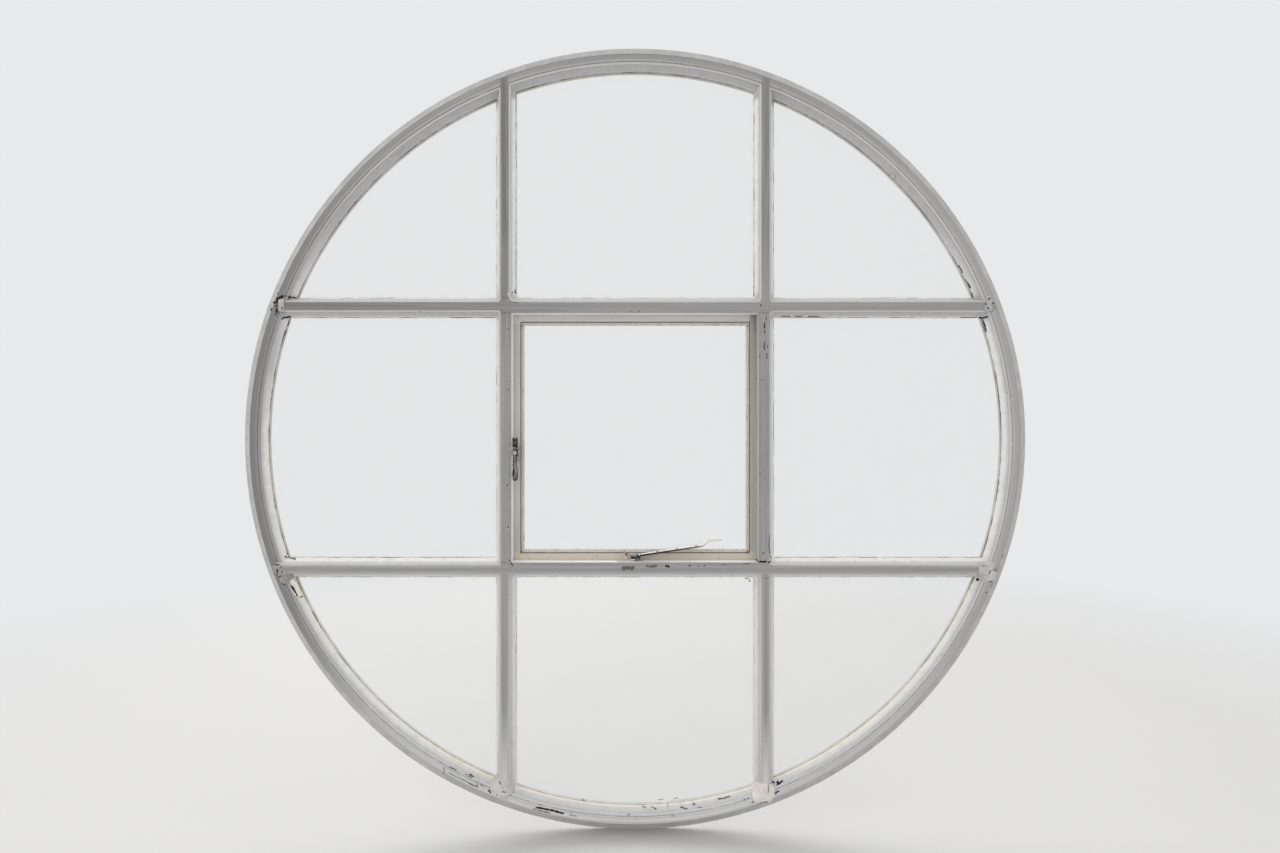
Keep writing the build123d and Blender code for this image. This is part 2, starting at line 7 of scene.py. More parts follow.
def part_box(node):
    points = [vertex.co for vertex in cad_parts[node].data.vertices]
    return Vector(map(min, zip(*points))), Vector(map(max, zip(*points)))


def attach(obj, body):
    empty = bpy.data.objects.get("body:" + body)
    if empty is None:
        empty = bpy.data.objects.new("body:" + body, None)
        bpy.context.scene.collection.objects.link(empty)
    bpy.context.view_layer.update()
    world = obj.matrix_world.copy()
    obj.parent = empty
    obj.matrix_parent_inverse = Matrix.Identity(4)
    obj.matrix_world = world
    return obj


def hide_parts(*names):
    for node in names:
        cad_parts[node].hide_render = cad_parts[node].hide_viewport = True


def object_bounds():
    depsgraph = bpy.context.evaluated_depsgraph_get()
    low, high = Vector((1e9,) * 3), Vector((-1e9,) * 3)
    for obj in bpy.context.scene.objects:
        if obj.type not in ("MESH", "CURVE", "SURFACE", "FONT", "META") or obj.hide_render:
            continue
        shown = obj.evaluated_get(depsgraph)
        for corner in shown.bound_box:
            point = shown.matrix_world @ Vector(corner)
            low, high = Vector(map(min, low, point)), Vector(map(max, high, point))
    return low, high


ops = bmesh.ops
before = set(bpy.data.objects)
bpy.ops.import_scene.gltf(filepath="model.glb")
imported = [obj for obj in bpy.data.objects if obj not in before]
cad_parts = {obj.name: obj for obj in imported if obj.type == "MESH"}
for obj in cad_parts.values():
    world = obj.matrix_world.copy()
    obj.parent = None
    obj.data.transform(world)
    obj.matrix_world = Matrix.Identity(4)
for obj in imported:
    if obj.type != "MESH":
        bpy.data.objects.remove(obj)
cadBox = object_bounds()
print("frame loaded:", len(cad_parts), "nodes")

# Places of the window, read from the frame, in metres
mm = 0.001
crossLow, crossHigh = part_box("upper_crossbar")
lowerLow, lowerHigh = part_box("lower_crossbar")
barLeftLow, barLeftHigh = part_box("upper_left_bar")
barRightLow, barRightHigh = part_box("upper_right_bar")
window = {
    "noseY": crossLow.y,
    "glassFrontY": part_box("middle_left_pane")[0].y,
    "sashFaceY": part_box("sash_frame")[0].y,
    "upperZ": (crossLow.z + crossHigh.z) / 2,
    "lowerZ": (lowerLow.z + lowerHigh.z) / 2,
    "leftX": (barLeftLow.x + barLeftHigh.x) / 2,
    "rightX": (barRightLow.x + barRightHigh.x) / 2,
    "finWidth": 28 * mm,
    "noseHalf": 8.5 * mm,
}
window["ringOuter"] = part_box("ring_frame")[1].x - window["finWidth"]
window["ringLine"] = window["ringOuter"] - window["noseHalf"]

# Section of a bar from its axis outwards: distance and depth behind the nose, in millimetres
section = {
    "fixed": ((0, 0), (8.5, 0), (9.0, 2.5), (13.0, 5.5), (13.1, 7.5), (22.5, 25), (120, 25)),
    "casement": ((0, 0), (16.5, 0), (16.6, 25.5), (32, 25.5), (32.1, 28.5), (120, 28.5)),
}

# The eight fixed lights, row by row
rows, columns = ("upper", "middle", "lower"), ("left", "middle", "right")
lightNames = [row + "_" + column for row in rows for column in columns if row != column]


def roundedCorner(near, second, blend):
    # distance from the nearer of two bars, shortened so that the corner between them is round
    return near - max(blend - (second - near), 0) ** 2 / (4 * blend)


def faceDepth(x, z, blend=0):
    # depth of the visible face behind the nose, in millimetres
    left, right = window["leftX"] / mm, window["rightX"] / mm
    lower, upper = window["lowerZ"] / mm, window["upperZ"] / mm
    ring = abs(math.hypot(x, z) - window["ringLine"] / mm)
    axes = (abs(x - left), abs(x - right), abs(z - upper), abs(z - lower), ring)
    near, second = sorted(axes)[:2]
    if blend:
        near = roundedCorner(near, second, blend)
    inCasement = left < x < right and lower < z < upper
    line = section["casement" if inCasement else "fixed"]
    for (start, startDepth), (end, endDepth) in zip(line, line[1:]):
        if near <= end:
            share = (max(near, start) - start) / (end - start)
            return startDepth + (endDepth - startDepth) * share
    return line[-1][1]


def srgb(red, green, blue):
    # colour written as 0 to 255, as a picture shows it
    values = []
    for part in (red, green, blue):
        share = part / 255
        values.append(share / 12.92 if share <= 0.04045 else ((share + 0.055) / 1.055) ** 2.4)
    return (*values, 1)


class Wire:
    # an output of a node, so that sums on it add Math nodes
    def __init__(self, tree, socket=None):
        self.tree = tree
        self.socket = socket

    def node(self, kind, sockets=None, output=0, **settings):
        made = self.tree.nodes.new("ShaderNode" + kind)
        for name, value in settings.items():
            setattr(made, name, value)
        for name, value in (sockets or {}).items():
            if isinstance(value, Wire):
                self.tree.links.new(value.socket, made.inputs[name])
            else:
                made.inputs[name].default_value = value
        return Wire(self.tree, made.outputs[output] if made.outputs else None)

    def math(self, operation, *values):
        return self.node("Math", dict(enumerate(values)), operation=operation)

    def __add__(self, other):
        return self.math("ADD", self, other)

    __radd__ = __add__

    def __sub__(self, other):
        return self.math("SUBTRACT", self, other)

    def __rsub__(self, other):
        return self.math("SUBTRACT", other, self)

    def __mul__(self, other):
        return self.math("MULTIPLY", self, other)

    __rmul__ = __mul__

    def __truediv__(self, other):
        return self.math("DIVIDE", self, other)

    def power(self, other):
        return self.math("POWER", self, other)

    def away(self, place):
        return self.math("ABSOLUTE", self - place)

    def least(self, other):
        return self.math("MINIMUM", self, other)

    def most(self, other):
        return self.math("MAXIMUM", self, other)

    def ramp(self, low, high, start=0, end=1):
        # straight from start to end between two values, and flat outside them
        sockets = {0: self, 1: low, 2: high, 3: start, 4: end}
        return self.node("MapRange", sockets, clamp=True)

    def over(self, name):
        return self.ramp(*spread[name])

    def coat(self, colour, name):
        tone, *span = paint[name]
        return self.ramp(*span).mix(colour, tone)

    def mix(self, *tones):
        # this value picks between two colours, each a wire or written as 0 to 255
        first, second = (tone if isinstance(tone, Wire) else srgb(*tone) for tone in tones)
        return self.node("Mix", {0: self, 6: first, 7: second}, output=2, data_type="RGBA")

    def noise(self, vector, scale, detail=3, roughness=0.5):
        sockets = {"Vector": vector, "Scale": scale, "Detail": detail, "Roughness": roughness}
        return self.node("TexNoise", sockets)

    def noises(self, vector, facts, *names):
        return [self.noise(vector, *facts[name]) for name in names]


def emptyTree(owner):
    owner.use_nodes = True
    owner.node_tree.nodes.clear()
    return Wire(owner.node_tree)


def newMaterial(name):
    # a material, its wires, and the object coordinates whole and as x, y and z, in metres
    material = bpy.data.materials.new(name)
    wires = emptyTree(material)
    point = wires.node("TexCoord", output=3)
    x, y, z = (wires.node("SeparateXYZ", {0: point}, output=axis) for axis in range(3))
    return material, wires, point, x, y, z


def finishMaterial(material, wires, colour, roughness, height, relief, strength=0.6,
                   metallic=0, specular=0.5):
    # height is bumped by relief in metres
    sockets = {"Height": height, "Distance": relief, "Strength": strength}
    shader = wires.node("BsdfPrincipled", {
        "Base Color": colour,
        "Roughness": roughness,
        "Metallic": metallic,
        "Normal": wires.node("Bump", sockets),
        "Specular IOR Level": specular,
    })
    wires.node("OutputMaterial", {"Surface": shader})
    return material


def layered(amounts, *fields):
    # a base amount, and each field by its own share
    total, *shares = amounts
    for share, field in zip(shares, fields):
        total += field * share
    return total


def facing(wires, axis):
    # how far the surface faces along one axis, 0 or 1 or 2, on the piece itself
    return wires.node("SeparateXYZ", {0: wires.node("TexCoord", output=1)}, output=axis)


def fromUprights(x):
    return x.away(window["leftX"]).least(x.away(window["rightX"]))


def fromCrossBars(z):
    return z.away(window["upperZ"]).least(z.away(window["lowerZ"]))


# Old oil paint over steel and putty, with light and shade painted into several of its tones.
# Tones with more numbers are coats: tone, then the two values that it lies between and its
# strength at each
paint = {
    # the nose is darker than the slopes, partly dirt and partly painted shade
    "nose": (156, 155, 154),
    "noseShade": (119, 118, 116),
    # painted highlight along the edges of the nose
    "noseHighlight": (197, 197, 197),
    # slope tones: painted shade near the nose, painted light towards the top
    "upperSlope": (187, 188, 190),
    "highSlope": (241, 242, 243),
    "lowSlope": (230, 228, 224),
    # painted shade by the upper bar and the upper rim
    "shadedSlope": (181, 179, 180),
    # painted light at the toe of the slope
    "toe": (241, 237, 230),
    # grime on the weather side, and painted shade in the steps and in the casement's corner
    "grimeAndShade": (100, 95, 89),
    "toeDirt": (82, 76, 70),
    "behindGlass": (228, 221, 210),
    "weathered": (192, 189, 182),
    "weatheredDark": (178, 175, 168),
    "pit": (56, 52, 48),
    "rust": (104, 68, 46),
    "fin": (206, 204, 200),
    "finLine": (70, 66, 62),
    # painted light on the reveals, with painted shade on the right-hand ones
    "reveal": (250, 249, 247),
    "revealShade": (202, 200, 196),
    "noseCool": ((148, 148, 149), 0.36, 0.64),
    "noseWarm": ((158, 154, 149), 0.52, 0.72),
    # painted shade on the ring's left, painted light on its right, at its foot and at the bars'
    # feet
    "ringLeftShade": ((142, 142, 141), -0.7, -0.2, 0.8, 0),
    "ringRightLight": ((178, 177, 175), 0.3, 0.85, 0, 0.85),
    "ringFoot": ((222, 222, 222), -0.86, -0.4, 1, 0),
    "barFoot": ((222, 222, 222), -0.79, -0.62, 0.9, 0),
    "streak": ((197, 197, 197), 0.5, 0.66, 0, 0.3),
    # painted shade on the slope at the foot
    "footSlope": ((205, 203, 200), -0.86, -0.66, 1, 0),
    # painted highlight on the shoulder
    "shoulder": ((206, 206, 206), 2.4, 2.9),
    "brushGrime": ((100, 95, 89), 0.45, 0.72, 0, 0.12),
    # a base amount, then the shares of the fields that are laid over it
    "roughness": (0.4, 0.16, 0.2),
    "height": (0, 0.5, 0.14, 0.9, -0.6),
    "specular": 0.4,
    "relief": 0.7 * mm,
    "pits": (150.0, 0.8, 0.815),
    "weathering": 0.92,
    # noise: scale, detail and roughness
    "broad": (4.2, 2),
    "other": (7.7, 2),
    "cloud": (38.0, 4, 0.6),
    "peel": (420.0, 2),
    "patchy": (26.0, 5, 0.68),
    "film": (11.0, 5, 0.62),
    "rustNoise": (70.0, 6, 0.75),
    # brush marks: scale along the strokes and across them
    "brushAlong": 5,
    "brushAcross": 260,
    "brushAll": 70,
}

# Masks of the paint: two values and the strength at each, 0 and 1 where none is given.
# Names say what is measured: Depth behind the nose and Edge from a bar's axis in millimetres,
# High, Side and Radius in metres, Noise from 0 to 1
spread = {
    # the first eight masks place painted shade on the nose
    "outerEdge": (-8.5, -5, 0.45, 0),
    "footEdge": (-8.5, -1.5, 0.5, 0),
    "footHigh": (-0.8, -0.6, 1, 0),
    "leftBarSide": (-0.8, -0.3, 1, 0.6),
    "leftBarEndSide": (-0.3, -0.1, 1, 0),
    "upperBarHigh": (0.2, 0.33),
    "topHigh": (0.33, 0.5),
    "topSide": (-0.2, 0.2, 1, 0.6),
    "lightEdge": (2.5, 8.5, 0, 0.6),
    "lightHigh": (-0.33, -0.12, 1, 0.22),
    # masks of the painted light and shade on the putty slope and the shoulder
    "slopeHigh": (-0.7, 0.6),
    "nearBarHigh": (24 * mm, 36 * mm, 0.75, 0),
    "rimRadius": (0.832, 0.842),
    "rimHigh": (0.27, 0.5, 0, 0.85),
    "leftRimSide": (-0.84, -0.8, 0.75, 0),
    "leftRimHigh": (0.02, 0.2),
    "slopeDepth": (9, 19),
    "toeDepth": (21, 26),
    "belowShoulderDepth": (6.9, 7.7),
    "dimSide": (-0.86, -0.6, 0.6, 0),
    "dimDepth": (8, 16, 1, 0),
    # masks of the painted shade lines in the steps
    "barStepDepth": (0.3, 0.9, 0.5, 0),
    "barStepNoise": (0.34, 0.56),
    "barUnderDepth": (0.2, 1.0, 0.3, 0),
    "barUnderNoise": (0.42, 0.6),
    "ringStepDepth": (0.5, 1.2, 1, 0),
    "ringStepNoise": (0.3, 0.5, 0.25, 0.7),
    "ringUnderDepth": (0.7, 1.9, 1, 0),
    "ringUnderNoise": (0.3, 0.52, 0.3, 0.75),
    "dirtDepth": (23.2, 24.8),
    "dirtNoise": (0.46, 0.6),
    "dirtHigh": (-0.66, -0.4),
    "rebateSide": (0.294, 0.298, 0.15, 1),
    "bedNoise": (0.4, 0.62),
    # masks of the painted light and shade on the reveals
    "sidewaysFacing": (0.35, 0.6, 1, 0),
    "shadowSide": (0.2, 0.25),
    "shadowFacing": (0.5, 0.8),
    "finNoise": (0.36, 0.66),
    "finLineNoise": (0.36, 0.6),
    "weatherDepth": (-5.5 * mm, -4.5 * mm),
    "weatherNoise": (0.3, 0.7),
    "filmNoise": (0.45, 0.7, 0, 0.25),
    "rustNoise": (0.67, 0.7),
    "finEdge": (0.5, 1),
    "finLineEdge": (2.4, 3.6, 1, 0),
}
# How far noise moves an edge, and the depth of the painted shade lines and of the bed behind the
# glass, in millimetres
wander = {"edge": 9, "slope": 5, "toe": 4, "finLine": 3}
shadeAndBedDepths = {"step": 2.0, "barUnder": 8.0, "ringUnder": 8.3, "behindGlass": (0.4, 0.8)}


def strokes(wires, point, x, y, z, grain):
    # brush marks that run along a member: x for cross bars, z for uprights, round for the ring
    along, across, even = (paint[name] for name in ("brushAlong", "brushAcross", "brushAll"))
    if grain == "round":
        radius = (x * x + z * z).power(0.5)
        vector = wires.node("CombineXYZ", {0: x * along, 1: z * along, 2: radius * across})
        sockets = {"Vector": vector, "W": y * across, "Scale": 1.0, "Detail": 3.0}
        return wires.node("TexNoise", sockets, noise_dimensions="4D")
    scales = {"x": (along, across, across), "z": (across, across, along), "all": (even,) * 3}
    return wires.noise(wires.node("Mapping", {"Vector": point, "Scale": scales[grain]}), 1.0)


def finishPaint(material, wires, point, y, cloud, brushed, colour, pits):
    # brush marks, small pits, and the weather side, duller and with rust coming through
    colour = brushed.coat(colour, "brushGrime")
    outside = y.over("weatherDepth")
    worn = cloud.over("weatherNoise").mix(paint["weathered"], paint["weatheredDark"])
    colour = (outside * paint["weathering"]).mix(colour, worn)
    film = wires.noise(point, *paint["film"]).over("filmNoise")
    colour = (outside * film).mix(colour, paint["grimeAndShade"])
    rusty = wires.noise(point, *paint["rustNoise"]).over("rustNoise")
    colour = (outside * rusty).mix(colour, paint["rust"])
    scale, start, end = pits
    pitted = wires.noise(point, scale, 1).ramp(start, end)
    peel = wires.noise(point, *paint["peel"])
    height = layered(paint["height"], brushed, peel, cloud, pitted)
    roughness = layered(paint["roughness"], cloud, outside)
    return finishMaterial(material, wires, pitted.mix(colour, paint["pit"]), roughness, height,
                          paint["relief"], specular=paint["specular"])


def paintMaterial(name, grain, reveals=False, ring=False):
    material, wires, point, x, y, z = newMaterial(name)
    depth = (y - window["noseY"]) / mm
    brushed = strokes(wires, point, x, y, z, grain)
    broad, other, cloud, patchy = wires.noises(point, paint, "broad", "other", "cloud", "patchy")

    # the nose, by its place on the window and by the distance from its axis: painted shade on the
    # left and upper bars and on the ring's left and outer edge, painted light on the ring's right
    # and foot and at the bars' feet
    radius = (x * x + z * z).power(0.5)
    if grain == "round":
        fromAxis = (window["ringLine"] - radius) / mm
    elif grain == "z":
        fromAxis = fromUprights(x) / mm
    else:
        fromAxis = fromCrossBars(z) / mm
    nose = broad.coat(paint["nose"], "noseCool")
    nose = other.coat(nose, "noseWarm")
    if ring:
        nose = x.coat(nose, "ringLeftShade")
        nose = x.coat(nose, "ringRightLight")
        nose = z.coat(nose, "ringFoot")
        foot = fromAxis.over("footEdge") * z.over("footHigh")
        nose = fromAxis.over("outerEdge").most(foot).mix(nose, paint["noseShade"])
    else:
        left = x.over("leftBarSide") * x.over("leftBarEndSide")
        top = z.over("topHigh") * x.over("topSide")
        shaded = (left * z.over("upperBarHigh")).most(top)
        nose = shaded.mix(nose, paint["noseShade"])
        nose = z.coat(nose, "barFoot")
    # painted highlight along the edges of the nose, strongest on the ring and the lower bars
    if not reveals:
        light = (fromAxis + (broad - 0.5) * wander["edge"]).over("lightEdge")
        low = 1 if ring else z.over("lightHigh")
        nose = (light * low).mix(nose, paint["noseHighlight"])
    nose = brushed.coat(nose, "streak")

    # the putty slope, lighter than the nose as painted light, with painted shade along the upper
    # bar, the upper rim, near the nose and at the foot, painted light at its toe and towards the
    # top, and a painted highlight on the shoulder above it
    slope = z.over("slopeHigh").mix(paint["lowSlope"], paint["highSlope"])
    nearBar = z.away(window["upperZ"]).over("nearBarHigh")
    leftRim = x.over("leftRimSide") * z.over("leftRimHigh")
    nearRing = (radius.over("rimRadius") * z.over("rimHigh")).most(leftRim)
    slope = nearBar.most(nearRing).mix(slope, paint["shadedSlope"])
    slope = z.coat(slope, "footSlope")
    ragged = (depth + cloud * wander["slope"]).over("slopeDepth")
    slope = ragged.mix(paint["upperSlope"], slope)
    toe = (depth + cloud * wander["toe"]).over("toeDepth") * (1 - nearRing)
    slope = toe.mix(slope, paint["toe"])
    colour = depth.coat(nose, "shoulder")
    colour = depth.over("belowShoulderDepth").mix(colour, slope)
    # painted shade on the upper slope at the ring's left
    if ring:
        dim = x.over("dimSide") * depth.over("dimDepth")
        colour = dim.mix(colour, paint["noseShade"])

    # painted shade in the small step under the nose and below the shoulder
    kind = "ring" if ring else "bar"
    step = depth.away(shadeAndBedDepths["step"]).over(kind + "StepDepth")
    under = depth.away(shadeAndBedDepths[kind + "Under"]).over(kind + "UnderDepth")
    step, under = step * cloud.over(kind + "StepNoise"), under * other.over(kind + "UnderNoise")
    colour = step.most(under).mix(colour, paint["grimeAndShade"])

    # dirt where the paint meets the glass, and the pale bed seen through the glass
    dirty = depth.over("dirtDepth") * patchy.over("dirtNoise")
    dirty *= z.over("dirtHigh")
    dirty *= x.away(0).most(z.away(0)).over("rebateSide")
    colour = dirty.mix(colour, paint["toeDirt"])
    behind = y.ramp(*(window["glassFrontY"] + past * mm for past in shadeAndBedDepths["behindGlass"]))
    bed = patchy.over("bedNoise").mix(paint["behindGlass"], paint["weathered"])
    colour = behind.mix(colour, bed)
    # painted light on the reveals, which face sideways, and painted shade on those at the right
    if reveals:
        sideways = facing(wires, 1).away(0).over("sidewaysFacing")
        shadow = facing(wires, 0).away(0).over("shadowFacing")
        shadow *= x.over("shadowSide")
        colour = sideways.mix(colour, shadow.mix(paint["reveal"], paint["revealShade"]))
    if ring:
        beyond = (radius - window["ringOuter"]) / mm
        finPaint = cloud.over("finNoise").mix(paint["fin"], paint["upperSlope"])
        line = (beyond + cloud * wander["finLine"]).over("finLineEdge")
        line *= other.over("finLineNoise")
        finPaint = line.mix(finPaint, paint["finLine"])
        colour = beyond.over("finEdge").mix(colour, finPaint)
    return finishPaint(material, wires, point, y, cloud, brushed, colour, paint["pits"])


# Casement: the same paint, a little warmer, creamier along the bottom rail, with painted light on
# the top rail and painted shade on the right stile and its upper part
sashPaint = {
    "main": (202, 198, 195),
    "second": (192, 189, 186),
    # painted light on the top rail
    "top": (210, 207, 205),
    "bottom": (206, 197, 182),
    # painted shade on the right stile
    "right": (177, 173, 169),
    "broad": (6.0, 2),
    "uprightSide": (0.266, 0.268),
    "mainNoise": (0.38, 0.62),
    "topHigh": (0.268, 0.269),
    "rightSide": (0.267, 0.268),
    "bottomHigh": (-0.263, -0.262, 1, 0),
    "bottomNoise": (0.2, 0.5),
    "cornerSide": (0.264, 0.284, 0, 0.55),
    "cornerHigh": (0.05, 0.28),
    "pits": (160.0, 0.79, 0.805),
}


def sashMaterial():
    material, wires, point, x, y, z = newMaterial("old_paint_sash")
    cloud = wires.noise(point, *paint["cloud"])
    broad = wires.noise(point, *sashPaint["broad"])
    side = x.away(0).ramp(*sashPaint["uprightSide"])
    upright = side * strokes(wires, point, x, y, z, "z")
    brushed = upright + (1 - side) * strokes(wires, point, x, y, z, "x")
    colour = broad.ramp(*sashPaint["mainNoise"]).mix(sashPaint["main"], sashPaint["second"])
    colour = z.ramp(*sashPaint["topHigh"]).mix(colour, sashPaint["top"])
    colour = x.ramp(*sashPaint["rightSide"]).mix(colour, sashPaint["right"])
    low = z.ramp(*sashPaint["bottomHigh"]) * cloud.ramp(*sashPaint["bottomNoise"])
    colour = low.mix(colour, sashPaint["bottom"])
    # painted shade on the upper part of the right stile
    corner = x.ramp(*sashPaint["cornerSide"]) * z.ramp(*sashPaint["cornerHigh"])
    colour = corner.mix(colour, paint["grimeAndShade"])
    return finishPaint(material, wires, point, y, cloud, brushed, colour, sashPaint["pits"])


# Putty: noises, where its tones come through them, roughness and height
putty = {
    "cloud": (30.0, 5, 0.62),
    "lumpy": (110.0, 3),
    "cells": 130.0,
    "crackEdge": (0.004, 0.03, 1, 0),
    "crackNoise": (0.5, 0.62),
    "secondNoise": (0.34, 0.66),
    "dirtNoise": (0.55, 0.7, 0, 0.5),
    "outsideFacing": (0.1, 0.3),
    "footHigh": (-0.66, -0.4, 1, 0),
    "roughness": (0.5, 0.2),
    "height": (0, 0.8, 0.6, -0.8),
    "relief": 0.9 * mm,
}


def puttyMaterial(name, colours):
    material, wires, point, x, y, z = newMaterial(name)
    cloud, lumpy = wires.noises(point, putty, "cloud", "lumpy")
    sockets = {"Vector": point, "Scale": putty["cells"]}
    crack = wires.node("TexVoronoi", sockets, feature="DISTANCE_TO_EDGE")
    crack = crack.ramp(*putty["crackEdge"]) * cloud.ramp(*putty["crackNoise"])
    crack *= colours["cracked"]
    colour = cloud.ramp(*putty["secondNoise"]).mix(colours["main"], colours["second"])
    colour = lumpy.ramp(*putty["dirtNoise"]).mix(colour, colours["dirt"])
    colour = crack.mix(colour, colours["dirt"])
    if "outside" in colours:
        outer = facing(wires, 1).ramp(*putty["outsideFacing"])
        colour = outer.mix(colour, colours["outside"])
    if "foot" in colours:
        colour = z.ramp(*putty["footHigh"]).mix(colour, colours["foot"])
    return finishMaterial(material, wires, colour, layered(putty["roughness"], cloud),
                          layered(putty["height"], cloud, lumpy, crack), putty["relief"])


# Bedding of the casement glass: dark where it meets the sash, creamy towards the glass
bedding = {
    "dark": (126, 119, 111),
    "darker": (92, 84, 77),
    "cream": (226, 219, 206),
    "darkWidth": (2.9, 3.5, 1, 0),
    "sightX": 0.268,
    "sightTop": 0.2735,
    "sightFoot": -0.2675,
    "cloud": (60.0, 5, 0.62),
    "lumpy": (180.0, 3),
    "wander": 1.6,
    "darkerNoise": (0.4, 0.62),
    "roughness": (0.5, 0.25),
    "height": (0, 0.7, 0.4),
    "relief": 0.6 * mm,
}


def beddingMaterial():
    material, wires, point, x, y, z = newMaterial("casement_bedding")
    cloud, lumpy = wires.noises(point, bedding, "cloud", "lumpy")
    fromSash = (bedding["sightX"] - x.away(0)).least(bedding["sightTop"] - z)
    fromSash = fromSash.least(z - bedding["sightFoot"]) / mm
    dark = (fromSash + cloud * bedding["wander"]).ramp(*bedding["darkWidth"])
    darkTone = lumpy.ramp(*bedding["darkerNoise"]).mix(bedding["dark"], bedding["darker"])
    return finishMaterial(material, wires, dark.mix(bedding["cream"], darkTone),
                          layered(bedding["roughness"], cloud),
                          layered(bedding["height"], cloud, lumpy), bedding["relief"])


# Glass: clear, a little film along the bars, a few specks
glass = {
    "tint": (206, 216, 212),
    "dust": (198, 194, 186),
    "toeInset": 22.5 * mm,
    "filmReach": 11 * mm,
    "filmPower": 2,
    "cloud": (34.0, 5, 0.65),
    "filmNoise": (0.42, 0.66),
    "speckScale": 240.0,
    "speckSize": (0.07, 0.12, 1, 0),
    "groups": (9.0, 4),
    "groupNoise": (0.56, 0.68),
    "dustShare": (0.1, 0.7),
    "roughness": (0.05, 0.4, 0.3),
    "alpha": (0.05, 0.1, 0.35),
    "refraction": 1.5,
    "gloss": 0.02,
    "faceOn": 0.04,
    "slanting": 0.9,
    "slantPower": 5,
}


def glassMaterial():
    material, wires, point, x, y, z = newMaterial("old_glass")
    radius = (x * x + z * z).power(0.5)
    fromEdge = fromUprights(x).least(fromCrossBars(z)).least(window["ringLine"] - radius)
    fromEdge = fromEdge - glass["toeInset"]
    cloud, groups = wires.noises(point, glass, "cloud", "groups")
    film = fromEdge.ramp(0, glass["filmReach"], 1, 0).power(glass["filmPower"])
    film *= cloud.ramp(*glass["filmNoise"])
    sockets = {"Vector": point, "Scale": glass["speckScale"]}
    specks = wires.node("TexVoronoi", sockets, feature="F1").ramp(*glass["speckSize"])
    specks *= groups.ramp(*glass["groupNoise"])
    dust = film.most(specks).ramp(*glass["dustShare"])
    body = wires.node("BsdfPrincipled", {
        "Base Color": dust.mix(glass["tint"], glass["dust"]),
        "Roughness": layered(glass["roughness"], film, specks),
        "Alpha": layered(glass["alpha"], film, specks),
        "IOR": glass["refraction"],
    })
    gloss = wires.node("BsdfGlossy", {"Color": (1, 1, 1, 1), "Roughness": glass["gloss"]})
    slanting = wires.node("LayerWeight", {"Blend": 0.5}, output=1)
    rim = slanting.power(glass["slantPower"]) * glass["slanting"] + glass["faceOn"]
    whole = wires.node("MixShader", {0: rim, 1: body, 2: gloss})
    wires.node("OutputMaterial", {"Surface": whole})
    return material


# Painted ironmongery: noises, where bare metal and stains come through, shine and height
metal = {
    "cloud": (140.0, 5, 0.65),
    "fine": (900.0, 3),
    "broad": (60.0, 3),
    "stain": (260.0, 4),
    "bareNoise": (0.62, 0.68),
    "secondNoise": (0.38, 0.66),
    "stainNoise": (0.6, 0.72),
    "stained": 0.7,
    "shine": 0.6,
    "roughness": (0.36, 0.16, 0.25),
    "height": (0, 0.7, 0.2, -0.35),
    "relief": 0.35 * mm,
}


def metalMaterial(name, paintTone, second, bareTone, stainTone, worn):
    # worn is how much of the paint has gone from the raised parts
    material, wires, point, x, y, z = newMaterial(name)
    cloud, fine, broad, stain = wires.noises(point, metal, "cloud", "fine", "broad", "stain")
    bare = cloud.ramp(*(limit - worn for limit in metal["bareNoise"]))
    painted = broad.ramp(*metal["secondNoise"]).mix(paintTone, second)
    stain = stain.ramp(*metal["stainNoise"])
    colour = (stain * metal["stained"]).mix(bare.mix(painted, bareTone), stainTone)
    return finishMaterial(material, wires, colour, layered(metal["roughness"], fine, stain),
                          layered(metal["height"], cloud, fine, bare), metal["relief"],
                          metallic=bare * (1 - stain) * metal["shine"])


# Cockspur: grey paint, painted shade in black on the sides and at the lower end of the grip, and
# a black drop-shaped patch on it
lever = {
    "paint": (146, 144, 142),
    "second": (86, 83, 80),
    "sideShade": (30, 28, 26),
    "black": (10, 9, 8),
    "dropX": -0.2772,
    "dropZ": -0.0755,
    "dropHalfWidth": 3.1 * mm,
    "dropHalfLength": 9.6 * mm,
    "footHigh": (-0.086, -0.078, 0.75, 0),
    "footWander": 0.01,
    "dropWander": 0.9,
    "dropEdge": (0.75, 1.05, 1, 0),
    "cloud": (210.0, 4, 0.6),
    "fine": (900.0, 3),
    "broad": (90.0, 3),
    "frontFacing": (0.6, 0.9),
    "secondNoise": (0.4, 0.64),
    "sideShadeNoise": (0.25, 0.42),
    "shine": 0.3,
    "roughness": (0.38, 0.2),
    "height": (0, 0.6, 0.2, -0.4),
    "relief": 0.3 * mm,
}


def leverMaterial():
    material, wires, point, x, y, z = newMaterial("worn_lever")
    cloud, fine, broad = wires.noises(point, lever, "cloud", "fine", "broad")
    front = (0 - facing(wires, 1)).ramp(*lever["frontFacing"])
    colour = broad.ramp(*lever["secondNoise"]).mix(lever["paint"], lever["second"])
    # painted shade on the sides and the lower end of the grip
    shadedSides = (1 - front) * cloud.ramp(*lever["sideShadeNoise"])
    foot = (z + cloud * lever["footWander"]).ramp(*lever["footHigh"])
    colour = shadedSides.most(foot).mix(colour, lever["sideShade"])
    across = (x - lever["dropX"]) / lever["dropHalfWidth"]
    along = (z - lever["dropZ"]) / lever["dropHalfLength"]
    drop = across * across + along * along + (cloud - 0.5) * lever["dropWander"]
    drop = drop.ramp(*lever["dropEdge"])
    return finishMaterial(material, wires, drop.mix(colour, lever["black"]),
                          layered(lever["roughness"], fine),
                          layered(lever["height"], cloud, fine, drop), lever["relief"],
                          metallic=drop * lever["shine"])


